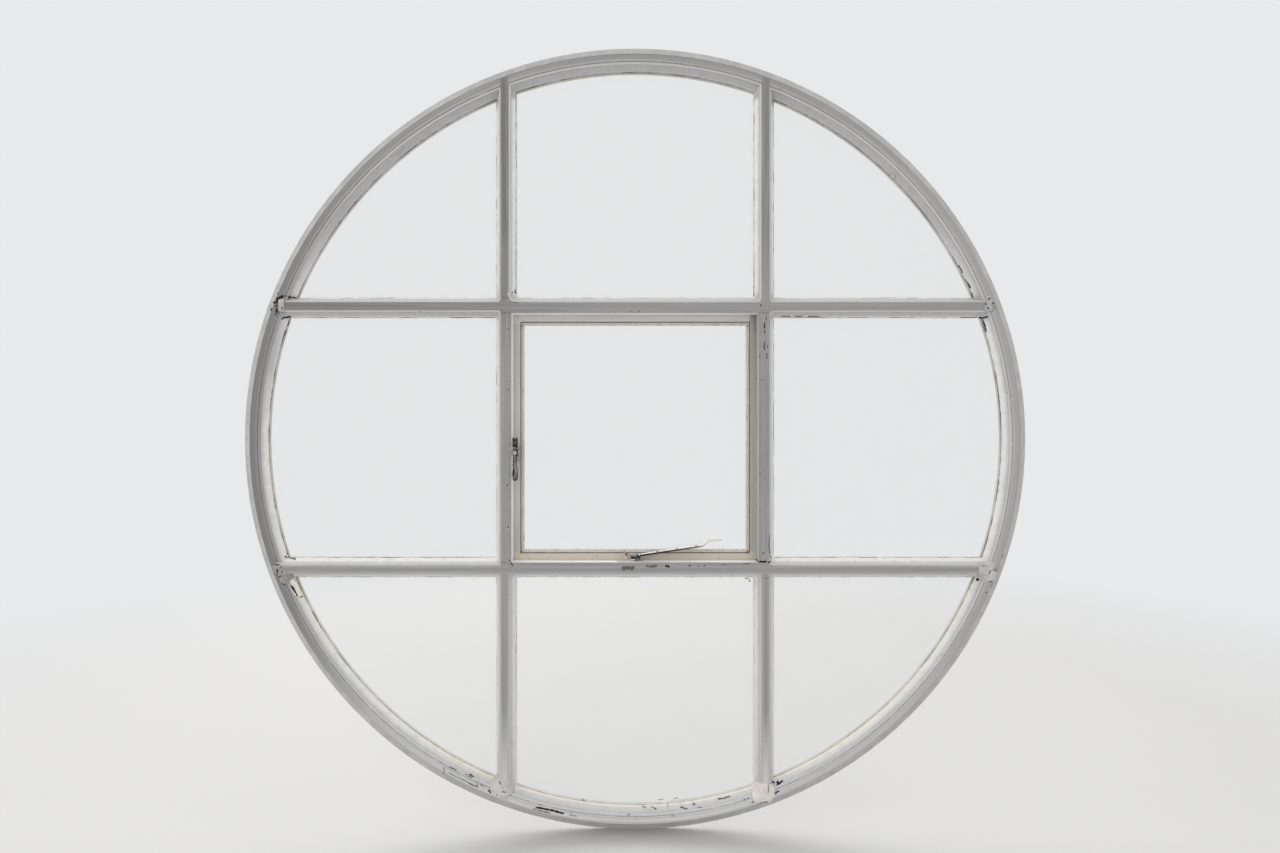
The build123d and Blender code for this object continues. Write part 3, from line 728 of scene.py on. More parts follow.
# Stay arm: a painted highlight on its top, bare and dark below, creamy towards the tail
arm = {
    # painted highlight on the top faces
    "top": (232, 229, 224),
    "dark": (40, 33, 29),
    "brown": (128, 102, 86),
    "tail": (232, 221, 214),
    "brownStart": 0.085,
    "tailStart": 0.150,
    "tailEnd": 0.172,
    "brownWander": 0.03,
    "tailWander": 0.012,
    "upWander": 0.3,
    "upFacing": (0.35, 0.6),
    "cloud": (120.0, 5, 0.65),
    "fine": (800.0, 3),
    "stain": (260.0, 4),
    "stainNoise": (0.62, 0.72),
    "stained": 0.25,
    "shine": 0.35,
    "roughness": (0.34, 0.2, 0.2),
    "height": (0, 0.7, 0.2),
    "relief": 0.3 * mm,
}


def armMaterial():
    material, wires, point, x, y, z = newMaterial("worn_stay_arm")
    brown, tail, end = (arm[name] for name in ("brownStart", "tailStart", "tailEnd"))
    cloud, fine, stain = wires.noises(point, arm, "cloud", "fine", "stain")
    low = (x + cloud * arm["brownWander"]).ramp(brown, tail).mix(arm["dark"], arm["brown"])
    low = (x + cloud * arm["tailWander"]).ramp(tail, end).mix(low, arm["tail"])
    # painted highlight on the faces turned up
    up = (facing(wires, 2) + (cloud - 0.5) * arm["upWander"]).ramp(*arm["upFacing"])
    colour = up.mix(low, x.ramp(tail, end).mix(arm["top"], arm["tail"]))
    stain = stain.ramp(*arm["stainNoise"])
    colour = (stain * arm["stained"]).mix(colour, arm["brown"])
    return finishMaterial(material, wires, colour, layered(arm["roughness"], fine, stain),
                          layered(arm["height"], cloud, fine), arm["relief"],
                          metallic=(1 - up) * x.ramp(brown, tail, arm["shine"], 0))


# Marks in the paint: one noise for tone, roughness and height
scarPaint = {
    "cloud": (240.0, 4, 0.65),
    "secondNoise": (0.38, 0.66),
    "roughness": (0.6, 0.3),
    "relief": 0.4 * mm,
    "strength": 0.7,
    "specular": 0.2,
}


def scarMaterial(name, main, second):
    material, wires, point, x, y, z = newMaterial(name)
    cloud = wires.noise(point, *scarPaint["cloud"])
    colour = cloud.ramp(*scarPaint["secondNoise"]).mix(main, second)
    return finishMaterial(material, wires, colour, layered(scarPaint["roughness"], cloud), cloud,
                          scarPaint["relief"], scarPaint["strength"],
                          specular=scarPaint["specular"])


paintAlongX = paintMaterial("old_paint_cross", "x")
paintAlongZ = paintMaterial("old_paint_upright", "z")
paintRound = paintMaterial("old_paint_ring", "round", ring=True)
paintReveal = paintMaterial("old_paint_surround", "x", reveals=True)
paintedPutty = paintMaterial("old_paint_putty", "all")
barePutty = puttyMaterial("bare_putty", {
    "main": (248, 244, 236),
    "second": (236, 230, 219),
    "dirt": (172, 160, 142),
    "outside": (186, 182, 173),
    "cracked": 0.5,
})

# Ironmongery: colour of the paint, a second tone of it, the bare metal and stains, and wear
ironmongery = {
    "painted_ironmongery": ((216, 213, 208), (186, 183, 178), (112, 102, 92), (126, 98, 76), 0),
    "painted_plate": ((188, 186, 183), (160, 158, 155), (84, 79, 74), (70, 64, 58), 0.03),
    "rusty_peg": ((232, 230, 226), (196, 188, 178), (70, 60, 52), (96, 70, 52), 0.1),
    # the dark knuckle's white bare tone is worn bare metal and painted glints
    "dark_knuckle_glints": ((34, 30, 27), (16, 14, 12), (236, 232, 227), (12, 10, 9), 0.04),
    "rusty_hinge": ((176, 168, 156), (150, 138, 122), (118, 74, 48), (92, 56, 38), 0.1),
}
metals = {name: metalMaterial(name, *facts) for name, facts in ironmongery.items()}
darkScar = scarMaterial("dark_scar", (34, 30, 27), (66, 54, 45))
greyScar = scarMaterial("grey_scar", (96, 94, 92), (122, 119, 116))
paleRidge = scarMaterial("pale_ridge", (232, 230, 226), (216, 212, 206))
leverMetal = leverMaterial()


def dress(material, *names):
    for name in names:
        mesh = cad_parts[name].data
        mesh.materials.clear()
        mesh.materials.append(material)


dress(paintRound, "ring_frame")
dress(paintAlongX, "upper_crossbar", "lower_crossbar", "bar_end_rivets")
dress(paintAlongZ, *(f"{row}_{side}_bar" for row in rows for side in ("left", "right")))
dress(paintReveal, "surround_head", "surround_sill", "surround_left_jamb", "surround_right_jamb")
dress(sashMaterial(), "sash_frame")
dress(paintedPutty, *(name + "_putty" for name in lightNames))
dress(barePutty, "sash_putty")
dress(beddingMaterial(), "sash_bedding")
dress(glassMaterial(), "sash_pane", *(name + "_pane" for name in lightNames))
dress(metals["painted_ironmongery"], "peg_plate", "peg_plate_screws", "stay_bracket")
dress(metals["rusty_peg"], "stay_peg")
dress(metals["painted_plate"], "handle_plate", "handle_pivot", "handle_lever", "sash_screws")
dress(metals["rusty_hinge"], "hinge_pins",
      *(f"{row}_hinge_{part}_leaf" for row in ("upper", "lower") for part in ("frame", "sash")))
dress(metals["dark_knuckle_glints"], "stay_swivel_pin", "stay_knuckle", "stay_lift_pin")
dress(armMaterial(), "stay_arm")
print("materials ready")


def linked(name, data):
    made = bpy.data.objects.new(name, data)
    bpy.context.scene.collection.objects.link(made)
    return made


def meshObject(name, bm, material, smooth=True):
    mesh = bpy.data.meshes.new(name)
    bm.to_mesh(mesh)
    bm.free()
    mesh.materials.append(material)
    for polygon in mesh.polygons:
        polygon.use_smooth = smooth
    return linked(name, mesh)


def newPiece(name, bm, material, body, smooth=True):
    ops.recalc_face_normals(bm, faces=bm.faces)
    piece = meshObject(name, bm, material, smooth)
    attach(piece, body)
    return piece


def thicken(bm, thickness):
    # turns a sheet to face -Y and makes it solid
    ops.recalc_face_normals(bm, faces=bm.faces)
    ops.reverse_faces(bm, faces=[f for f in bm.faces if f.normal.y > 0])
    ops.solidify(bm, geom=bm.faces[:], thickness=thickness)


def turned(bm, line, steps):
    # turns a line of radius and height round the z axis
    verts = [bm.verts.new((radius, 0, z)) for radius, z in line]
    edges = [bm.edges.new(pair) for pair in zip(verts, verts[1:])]
    ops.spin(bm, geom=verts + edges, cent=(0, 0, 0), axis=(0, 0, 1), dvec=(0, 0, 0),
             angle=math.tau, steps=steps, use_merge=True, use_duplicate=False)


def turnBy(bm, verts, degrees, axis):
    matrix = Matrix.Rotation(math.radians(degrees), 3, axis)
    ops.rotate(bm, verts=verts, cent=(0, 0, 0), matrix=matrix)


def toMetres(bm):
    ops.scale(bm, vec=(mm, mm, mm), verts=bm.verts)


# Cracks, chips and marks in the paint: half width, then x and z of each point, all in millimetres
scars = {
    "step": 1.5,
    "thick": 0.3,
    "lift": 0.12,
    "wobble": 0.9,
    "ragScale": 0.21,
    "seedStep": 2.3,
    "endLength": 1.7,
    "endWidth": 0.35,
}

darkScars = {
    "upperLeftGap": (
        (3.2, -822, 322, -821, 311, -822, 300, -822, 290), (3.0, -830, 317, -825, 311),
        (2.8, -824, 321, -813, 325, -806, 328, -801, 326, -796, 330),
        (1.4, -796, 328, -793, 328, -788, 328), (2.1, -823, 336, -818, 333),
        (0.9, -807, 303, -812, 290), (1.0, -807, 319, -804, 315), (1.6, -823, 290, -825, 283),
        (1.4, -833, 300, -837, 293),
    ),
    "upperLeftFoot": (
        (1.4, -813, 283, -811, 280, -807, 284, -801, 284), (1.1, -806, 280, -808, 270, -811, 263),
        (0.9, -813, 254, -817, 241), (0.9, -816, 275, -813, 282),
    ),
    "upperRightEnd": (
        (2.1, 810, 323, 814, 320), (2.3, 818, 312, 822, 310), (1.1, 804, 312, 805, 307),
        (1.3, 806, 302, 812, 296), (1.5, 814, 296, 820, 292), (1.7, 801, 283, 809, 281, 815, 283),
        (0.9, 808, 280, 811, 272, 814, 264, 818, 249),
    ),
    "upperRightRing": (
        (0.7, 753, 405, 758, 396, 763, 386), (0.8, 769, 372, 775, 362, 781, 350),
        (0.8, 784, 340, 790, 322),
    ),
    "lowerLeftEnd": (
        (1.5, -824, -287, -818, -288), (1.5, -820, -298, -820, -308, -819, -315),
        (1.1, -818, -318, -810, -313), (1.1, -811, -306, -806, -304),
        (1.1, -813, -292, -812, -296), (1.5, -798, -318, -795, -324, -788, -337),
        (2.5, -799, -333, -796, -336), (1.0, -808, -332, -800, -336),
        (1.3, -796, -335, -790, -344, -783, -356, -780, -363, -773, -368),
    ),
    "lowerRightEnd": (
        (1.5, 793, -330, 796, -322, 800, -320), (1.1, 801, -322, 806, -321),
        (1.3, 809, -326, 815, -328), (1.4, 816, -328, 819, -327),
        (1.0, 806, -317, 810, -310, 815, -301), (1.5, 829, -301, 831, -304),
        (1.7, 804, -351, 807, -353), (1.1, 818, -284, 819, -287),
    ),
    "lowerLeftBarFoot": (
        (1.5, -319, -780, -320, -792, -311, -788, -306, -791), (1.1, -304, -808, -295, -809),
        (1.3, -318, -817, -316, -818), (1.5, -337, -805, -330, -812),
    ),
    "lowerRightBarFoot": (
        (1.5, 325, -800, 342, -790), (1.0, 327, -796, 333, -792), (1.1, 318, -796, 324, -796),
        (1.7, 320, -814, 331, -807), (1.8, 323, -804, 323, -806), (1.1, 317, -800, 314, -805),
        (1.5, 250, -829, 253, -828), (1.4, 258, -826, 261, -826), (1.3, 265, -825, 267, -824),
        (1.1, 267, -835, 273, -831, 279, -833),
    ),
    "ringFootGap": (
        (2.2, -228, -845, -199, -850, -181, -854, -163, -860),
        (0.9, -234, -848, -216, -853, -194, -858), (0.9, -220, -839, -219, -840),
    ),
    "ringFootCracks": (
        (0.8, -448, -742, -418, -758, -395, -769, -377, -778),
        (1.1, -385, -787, -374, -793, -359, -799), (0.7, -427, -766, -406, -777, -385, -786),
        (0.8, -440, -753, -437, -760, -440, -772), (1.4, -382, -773, -371, -781, -360, -790),
        (1.1, -364, -797, -360, -791),
    ),
    "rightBarHead": (
        (1.3, 297, 268, 297, 253), (1.0, 298, 250, 297, 243), (1.1, 298, 223, 296, 214, 297, 204),
        (0.9, 312, 282, 313, 277), (0.9, 308, 271, 309, 265),
    ),
    "rightBarFoot": (
        (1.3, 309, -221, 308, -240, 308, -251, 310, -263), (1.1, 310, -266, 311, -269, 315, -277),
        (2.1, 282, -283, 289, -281, 303, -282), (2.3, 305, -283, 317, -282),
    ),
    "toeDashes": (
        (0.8, 318, 285, 330, 285), (0.8, 339, 285, 351, 285, 361, 285), (0.7, 370, 285, 391, 285),
        (0.7, 402, 285, 430, 285), (0.8, 758, 283, 799, 283), (0.8, -279, 348, -278, 326),
        (0.7, 277, 370, 277, 363), (0.7, 277, 358, 277, 349), (0.7, 277, 342, 277, 330),
        (1.0, 256, -325, 266, -326), (1.0, 266, -328, 268, -334),
    ),
    "crossingMarks": (
        (0.9, -287, 318, -279, 314, -268, 314), (1.0, -284, 341, -282, 332),
        (1.3, -288, -278, -286, -280), (1.0, -285, -282, -280, -292),
    ),
    "nailDots": (
        (2.4, -291, 253, -290, 252), (2.3, -291, 114, -289, 113), (2.2, -294, -105, -292, -106),
        (2.2, -292, -201, -290, -203), (2.2, 9, 294, 11, 293), (2.4, 287, 307, 289, 306),
        (2.5, 285, 190, 287, 189), (2.2, 291, 136, 292, 134), (1.9, 286, -80, 288, -81),
        (2.6, 293, -261, 295, -263), (2.6, 124, -290, 126, -292), (2.2, 158, -290, 160, -291),
        (2.5, 69, -290, 79, -294),
    ),
}

greyScars = {
    "jointLines": (
        (0.8, -308, 289, -296, 289, -284, 289), (0.7, -308, 325, -292, 325),
        (0.7, -308, -283, -292, -283), (0.8, 284, 289, 290, 289), (0.8, 291, 289, 299, 289),
        (0.8, 300, 289, 308, 289), (0.7, 292, -319, 308, -319), (0.7, -308, 764, -292, 764),
    ),
    "ringFlecks": (
        (1.2, -19, -865, -13, -864, -7, -865), (0.8, 16, -855, 25, -857),
        (0.9, 37, -855, 50, -858), (0.7, 75, -855, 78, -849), (0.7, 83, -865, 88, -863, 91, -868),
        (0.9, 104, -853, 122, -854), (1.0, 133, -848, 140, -847), (0.7, 145, -850, 162, -850),
        (0.9, 192, -836, 208, -833, 221, -829), (0.7, 54, -842, 66, -840),
        (0.7, 89, -840, 101, -837), (0.7, -124, -838, -117, -846), (0.9, -151, -862, -133, -865),
    ),
    "scuffs": (
        (4.4, -30, -300, -21, -295, -11, -296, -1, -297),
        (2.8, 25, -291, 36, -293, 45, -291, 51, -290), (1.6, 144, -292, 148, -292),
        (0.8, 197, -289, 210, -288), (1.0, 248, -287, 255, -286, 264, -285),
        (1.1, -10, 293, -7, 292), (1.0, 304, 216, 304, 208), (1.8, 303, 197, 302, 184),
        (1.3, 300, 281, 302, 272), (0.8, 308, -289, 315, -294), (1.4, -825, -275, -821, -281),
        (1.1, -798, -311, -786, -312), (0.9, -818, -321, -807, -334),
        (1.0, -355, -792, -346, -798), (1.4, 788, -322, 790, -324), (0.9, 795, -290, 804, -291),
        (0.7, 306, -791, 305, -809), (1.4, 285, -835, 308, -831, 321, -824),
        (1.0, -813, -271, -811, -276, -788, -280), (1.4, 848, -266, 845, -273),
        (2.1, 820, -340, 820, -331),
    ),
}

paleRidges = {
    "curl": (
        (1.0, -291, 336, -289, 325, -282, 324, -270, 319), (1.1, -322, 346, -321, 338),
        (0.9, -814, -275, -811, -280, -788, -282), (1.1, -823, -284, -814, -286),
        (1.4, 811, -274, 814, -278, 816, -282), (1.1, 806, 322, 810, 327, 815, 325),
    ),
}

# Marks on the casement face
sashMarks = {
    "dark": (
        (1.1, -261, 276, -259.6, 276.4), (1.0, -231.8, 274.6, -230.4, 275),
        (0.7, -238.7, 274.6, -237.5, 275), (1.5, -265.6, 263.4, -263.6, 262),
        (1.5, 261.4, 264, 263.2, 262.4), (1.6, -265.8, -263.7, -264, -262.2),
        (1.5, 261.4, -262.2, 263.2, -263.6),
    ),
    "grey": (
        (0.6, 278.6, 284, 278.5, 266, 278.4, 250), (1.0, 279, -281.6, 280.4, -283),
        (1.1, -283.2, -281.4, -281.8, -280),
    ),
}

# Lumps of paint and filler over the riveted bar ends: place, half sizes, roundness, turn,
# height and two colours, in millimetres and degrees
lumps = {
    "cuts": 9,
    "under": 6.0,
    "rough": 0.14,
    "drape": 18,
    "deepest": 14,
    "roughScale": 1.7,
    "dirtShare": 0.86,
    "cracked": 0.25,
    "ends": {
        "upper_left_block": (
            (-811, 306.5), (6.3, 14), 5, 0, 2.2, (206, 199, 193), (176, 169, 163)),
        "upper_right_block": (
            (812, 305.6), (9.5, 14), 2.6, 4, 2.6, (170, 174, 167), (190, 191, 186)),
        "lower_left_patch": (
            (-806, -316), (12.5, 15), 3, -24, 2.0, (176, 174, 171), (158, 154, 150)),
        "lower_left_filler": (
            (-785.7, -344.9), (6, 23), 2.3, -23.7, 1.6, (250, 246, 236), (236, 228, 214)),
        "lower_right_tongue": (
            (809, -304), (19, 22), 4, -6, 1.8, (206, 205, 202), (190, 188, 184)),
        # the two bottom domes are lighter than the nose as painted light, like the foot of the
        # ring
        "bottom_left_dome": (
            (-305, -800), (27, 17), 2.2, 20, 2.4, (218, 216, 214), (197, 195, 193)),
        "bottom_right_dome": (
            (295, -813), (27, 22), 2.3, -8, 3.3, (238, 234, 227), (226, 221, 213)),
        "ring_paint_bulge": (
            (597, 608), (4.6, 4), 2.1, 0, 1.3, (206, 204, 201), (190, 188, 185)),
    },
    "rivetRadius": 7.0,
    "rivetHeight": 2.5,
}


def rivetSpots():
    # where the bar ends cross the ring, in millimetres
    line = window["ringLine"] / mm
    for name in ("upperZ", "lowerZ", "leftX", "rightX"):
        level = window[name] / mm
        reach = math.sqrt(line ** 2 - level ** 2)
        for sign in (-1, 1):
            yield (sign * reach, level) if name.endswith("Z") else (level, -reach)


rivets = list(rivetSpots())


def lumpHeight(x, z):
    # how far the lumps and rivets stand in front of the face at a place, in millimetres
    highest = 0
    for place, half, power, turn, height, *tones in lumps["ends"].values():
        lean = math.radians(turn)
        across, along = x - place[0], z - place[1]
        u = (across * math.cos(lean) - along * math.sin(lean)) / half[0]
        v = (across * math.sin(lean) + along * math.cos(lean)) / half[1]
        inside = 1 - abs(u) ** power - abs(v) ** power
        if inside > 0:
            highest = max(highest, height * inside ** (1 / power) * (1 + lumps["rough"]))
    for spot in rivets:
        inside = 1 - math.dist((x, z), spot) ** 2 / lumps["rivetRadius"] ** 2
        highest = max(highest, lumps["rivetHeight"] * inside)
    return highest


def lineAt(points, share):
    # the place and the direction at a share of the way along a line of points
    spots = [Vector((x, 0, z)) for x, z in points]
    lengths = [(b - a).length for a, b in zip(spots, spots[1:])]
    reach = share * sum(lengths)
    for start, end, length in zip(spots, spots[1:], lengths):
        if reach <= length or end is spots[-1]:
            return start.lerp(end, min(reach / length, 1)), (end - start).normalized()
        reach -= length


def ribbon(bm, half, points, seed, depthAt):
    # one mark: a narrow grid laid along the points, ragged at its sides and thin at its ends
    total = sum(math.dist(a, b) for a, b in zip(points, points[1:]))
    steps = max(3, round(total / scars["step"]))
    grid = ops.create_grid(bm, x_segments=steps, y_segments=2, size=1)
    end = min(scars["endLength"], total / 3)
    for vert in grid["verts"]:
        share = (vert.co.x + 1) / 2
        side = vert.co.y
        place, direction = lineAt(points, share)
        across = Vector((-direction.z, 0, direction.x))
        taper = min(1, (min(share, 1 - share) * total + scars["endWidth"]) / end) ** 0.5
        rag = noise.noise(place * scars["ragScale"] + Vector((seed, side * 3, 0)))
        place += across * (side * half * taper * (1 + rag * scars["wobble"]))
        place.y = depthAt(place.x, place.z) - scars["lift"]
        vert.co = place * mm


def markPiece(name, marks, material, body, depthAt):
    # a set of marks as one thin piece
    bm = bmesh.new()
    for count, (half, *numbers) in enumerate(marks):
        points = list(zip(numbers[::2], numbers[1::2]))
        ribbon(bm, half, points, scars["seedStep"] * count, depthAt)
    thicken(bm, scars["thick"] * mm)
    return newPiece(name, bm, material, body, smooth=False)


def frameDepth(x, z):
    return window["noseY"] / mm + faceDepth(x, z) - lumpHeight(x, z)


def sashDepth(x, z):
    return window["sashFaceY"] / mm


frameMarks = (("scar_", darkScars, darkScar), ("scar_", greyScars, greyScar),
              ("ridge_", paleRidges, paleRidge))
for kind, group, material in frameMarks:
    for name, marks in group.items():
        markPiece(kind + name, marks, material, "frame", frameDepth)
markPiece("scar_sash_dark", sashMarks["dark"], darkScar, "sash", sashDepth)
markPiece("scar_sash_grey", sashMarks["grey"], greyScar, "sash", sashDepth)
print("marks ready")


def lump(name, place, half, power, turn, height, main, second):
    bm = bmesh.new()
    ops.create_cube(bm, size=2)
    ops.subdivide_edges(bm, edges=bm.edges, cuts=lumps["cuts"], use_grid_fill=True)
    lean = Matrix.Rotation(math.radians(turn), 3, "Y")
    seed = Vector((place[0], 3.0, place[1]))
    for vert in bm.verts:
        size = sum(abs(part) ** power for part in vert.co) ** (1 / power)
        shape = vert.co / size
        bumpy = noise.fractal(seed + shape * lumps["roughScale"], 1.0, 2.0, 3)
        rough = 1 + lumps["rough"] * bumpy
        deep = height if shape.y < 0 else lumps["under"]
        spot = lean @ Vector((shape.x * half[0] * rough, 0, shape.z * half[1] * rough))
        x, z = place[0] + spot.x, place[1] + spot.z
        draped = min(faceDepth(x, z, lumps["drape"]), lumps["deepest"])
        vert.co = Vector((x, window["noseY"] / mm + draped + shape.y * deep * rough, z)) * mm
    material = puttyMaterial(name + "_paint", {
        "main": main,
        "second": second,
        "dirt": [part * lumps["dirtShare"] for part in second],
        "cracked": lumps["cracked"],
    })
    return newPiece(name, bm, material, "frame")


for name, facts in lumps["ends"].items():
    lump(name, *facts)
print("lumps over the bar ends ready")

# Paint that has run into the inner corners of the fixed lights: side of the window, side of
# the crossing and rounding, in millimetres
cornerPaint = {
    "half": 32,
    "step": 0.9,
    "lift": 0.06,
    "thick": 0.5,
    "toe": 22.4,
    "nose": 7.6,
    "corners": (
        ("left", "upper", -1, 1, 9), ("left", "upper", 1, 1, 18), ("left", "upper", -1, -1, 6),
        ("right", "upper", -1, 1, 10), ("right", "upper", 1, 1, 9), ("right", "upper", 1, -1, 10),
        ("left", "lower", -1, 1, 6), ("left", "lower", -1, -1, 8), ("left", "lower", 1, -1, 12),
        ("right", "lower", 1, 1, 6), ("right", "lower", 1, -1, 9), ("right", "lower", -1, -1, 9),
    ),
}


def cornerPiece():
    bm = bmesh.new()
    half = cornerPaint["half"]
    steps = round(half / cornerPaint["step"])
    for side, row, signX, signZ, blend in cornerPaint["corners"]:
        axisX, axisZ = window[side + "X"] / mm, window[row + "Z"] / mm
        grid = ops.create_grid(bm, x_segments=steps, y_segments=steps, size=half / 2)
        faces = {face for vert in grid["verts"] for face in vert.link_faces}
        unwanted = []
        for face in faces:
            middle = face.calc_center_median() + Vector((half / 2, half / 2, 0))
            near, second = sorted((middle.x, middle.y))
            tooLow = roundedCorner(near, second, blend) > cornerPaint["toe"]
            if tooLow or second - near > blend or near < cornerPaint["nose"]:
                unwanted.append(face)
        ops.delete(bm, geom=unwanted, context="FACES")
        for vert in [v for v in grid["verts"] if v.is_valid]:
            x = axisX + signX * (vert.co.x + half / 2)
            z = axisZ + signZ * (vert.co.y + half / 2)
            depth = faceDepth(x, z, blend) - cornerPaint["lift"]
            vert.co = Vector((x, window["noseY"] / mm + depth, z)) * mm
    thicken(bm, cornerPaint["thick"] * mm)
    return newPiece("corner_paint", bm, paintAlongX, "frame")


cornerPiece()
print("corner paint ready")

# Paint and dirt drawn out over the edge of the glass by hand: reach, raggedness, lift, and
# the seed of the first light and the step to the next
glassEdge = {
    "step": 3 * mm,
    "paint": (0.4 * mm, 0.5 * mm, 0.34 * mm, 0, 3.7),
    "dirt": (0.5 * mm, 1.3 * mm, 0.16 * mm, 9.1, 5.3),
    "thick": 0.12 * mm,
    "waveScale": 45,
    "waveShare": 0.7,
    "nickScale": 260,
    "nickShare": 0.5,
}


def toeLoop(name):
    # the line where one light's putty meets the glass, cut into short edges
    bm = bmesh.new()
    bm.from_mesh(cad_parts[name + "_putty"].data)
    ops.remove_doubles(bm, verts=bm.verts, dist=0.01 * mm)
    ops.dissolve_limit(bm, angle_limit=math.radians(1), verts=bm.verts, edges=bm.edges)
    onGlass = {v for v in bm.verts if abs(v.co.y - window["glassFrontY"]) < 0.05 * mm}
    sloping = [f for f in bm.faces if f.normal.y < -0.2]
    keep = {e for face in sloping for e in face.edges if onGlass.issuperset(e.verts)}
    ops.delete(bm, geom=bm.faces[:], context="FACES_ONLY")
    ops.delete(bm, geom=[e for e in bm.edges if e not in keep], context="EDGES")
    ops.delete(bm, geom=[v for v in bm.verts if not v.link_edges], context="VERTS")
    while True:
        long = [e for e in bm.edges if e.calc_length() > glassEdge["step"]]
        if not long:
            return bm
        ops.subdivide_edges(bm, edges=long, cuts=1)


def edgeStrip(count, name, kind, material):
    reach, ragged, lift, seed, seedStep = glassEdge[kind]
    seed += seedStep * count
    bm = toeLoop(name)
    low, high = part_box(name + "_pane")
    centre = (low + high) / 2
    made = ops.extrude_edge_only(bm, edges=bm.edges[:])
    for vert in [v for v in made["geom"] if isinstance(v, bmesh.types.BMVert)]:
        inward = Vector((centre.x - vert.co.x, 0, centre.z - vert.co.z)).normalized()
        wave = noise.noise(vert.co * glassEdge["waveScale"] + Vector((seed, 0, 0)))
        nick = noise.noise(vert.co * glassEdge["nickScale"] + Vector((0, seed, 0)))
        uneven = wave * glassEdge["waveShare"] + nick * glassEdge["nickShare"]
        vert.co += inward * (reach + ragged * max(0, uneven))
    ops.translate(bm, verts=bm.verts, vec=(0, -lift, 0))
    thicken(bm, glassEdge["thick"])
    label = f"{name}_{kind}_edge"
    return newPiece(label, bm, material, "frame", smooth=False)


toeDirt = puttyMaterial("toe_dirt", {
    "main": (80, 68, 68),
    "second": (134, 121, 119),
    "dirt": (54, 45, 46),
    "foot": (238, 237, 235),
    "cracked": 0.4,
})
for count, name in enumerate(lightNames):
    edgeStrip(count, name, "paint", paintedPutty)
    edgeStrip(count, name, "dirt", toeDirt)
print("glass edges ready")

# Handle lever: pear-shaped grip, round hub and square spur, all in millimetres
leverShape = {
    "x": -274.0,
    "y": -41.5,
    "pivotZ": -31.0,
    "halfThick": 3.5,
    "grip": (
        (-96, 0), (-95.4, 2.4), (-93.4, 4.7), (-89.6, 6.2), (-84.6, 6.8), (-79, 6.6), (-72, 5.7),
        (-64, 4.6), (-56, 3.9), (-48, 3.7), (-42, 4.1), (-36, 5.2), (-31, 5.4), (-31, 0),
    ),
    "gripTurns": 32,
    "hubRadius": 6.7,
    "hubTurns": 40,
    "spur": ((-5.6, 5.6), (-29, 4)),
    "round": 1.1,
    "grooves": (
        (1.5, -278, 2.5, -278.2, -18), (1.1, -274.4, 1.6, -274.3, -19),
        (1.9, -270.4, 2.2, -270, -9, -270.3, -20), (1.3, -277.5, -3, -271, -4),
        (1.2, -277.5, -15.5, -271, -16),
    ),
    "spots": (
        (2.2, -276.5, -23, -272.6, -25), (1.7, -269.8, -23, -269.2, -31, -270.2, -41),
        (1.3, -273.5, -29, -271, -34), (0.9, -277.6, -36, -277.3, -52, -278.2, -64),
    ),
}


def handleLever():
    shape = leverShape
    thick = 2 * shape["halfThick"]
    bm = bmesh.new()
    turned(bm, [(radius, z) for z, radius in shape["grip"]], shape["gripTurns"])
    ops.remove_doubles(bm, verts=bm.verts, dist=0.01)
    widest = max(radius for z, radius in shape["grip"])
    ops.scale(bm, vec=(1, shape["halfThick"] / widest, 1), verts=bm.verts)
    hub = ops.create_cone(bm, cap_ends=True, segments=shape["hubTurns"], depth=thick,
                          radius1=shape["hubRadius"], radius2=shape["hubRadius"])["verts"]
    turnBy(bm, hub, 90, "X")
    ops.translate(bm, verts=hub, vec=(0, 0, shape["pivotZ"]))
    spur = ops.create_cube(bm, size=1)["verts"]
    (lowX, highX), (lowZ, highZ) = shape["spur"]
    ops.scale(bm, vec=(highX - lowX, thick, highZ - lowZ), verts=spur)
    ops.translate(bm, verts=spur, vec=(0, 0, (lowZ + highZ) / 2))
    edges = dict.fromkeys(edge for vert in hub + spur for edge in vert.link_edges)
    sharp = [edge for edge in edges if edge.calc_face_angle(0) > 1]
    ops.bevel(bm, geom=sharp, affect="EDGES", offset=shape["round"], segments=3,
              profile=0.5, material=-1)
    ops.translate(bm, verts=bm.verts, vec=(shape["x"], shape["y"], 0))
    toMetres(bm)
    piece = newPiece("cockspur_lever", bm, leverMetal, "handle")
    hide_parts("handle_lever")

    def leverDepth(x, z):
        return shape["y"] - shape["halfThick"]

    markPiece("lever_grooves", shape["grooves"] + shape["spots"], darkScar, "handle",
              leverDepth)


handleLever()
print("handle ready")

# Slotted screws, in millimetres: head and shank, then the place and turn of each
screw = {
    "slotHalf": 0.42,
    "slotSide": 0.06,
    "slotFloor": 0.35,
    "shankRadius": 1.6,
    "profile": ((0, 1.0), (1.2, 0.96), (2.2, 0.78), (2.9, 0.46), (3.2, 0.0)),
    "turns": 32,
    "sash": {
        "places": ((-274, -13.5, -14), (-274, -13.5, -48), (-8.8, -13.5, -272.2),
                   (12.8, -13.5, -272.2)),
        "slotTurns": (24, 71, -38, 12),
        "shank": 6.0,
        "lean": 90,
    },
    "peg": {
        "places": ((-36, -24, -280.5), (-6, -24, -280.5)),
        "slotTurns": (52, -20),
        "shank": 8.0,
        "lean": 0,
    },
}


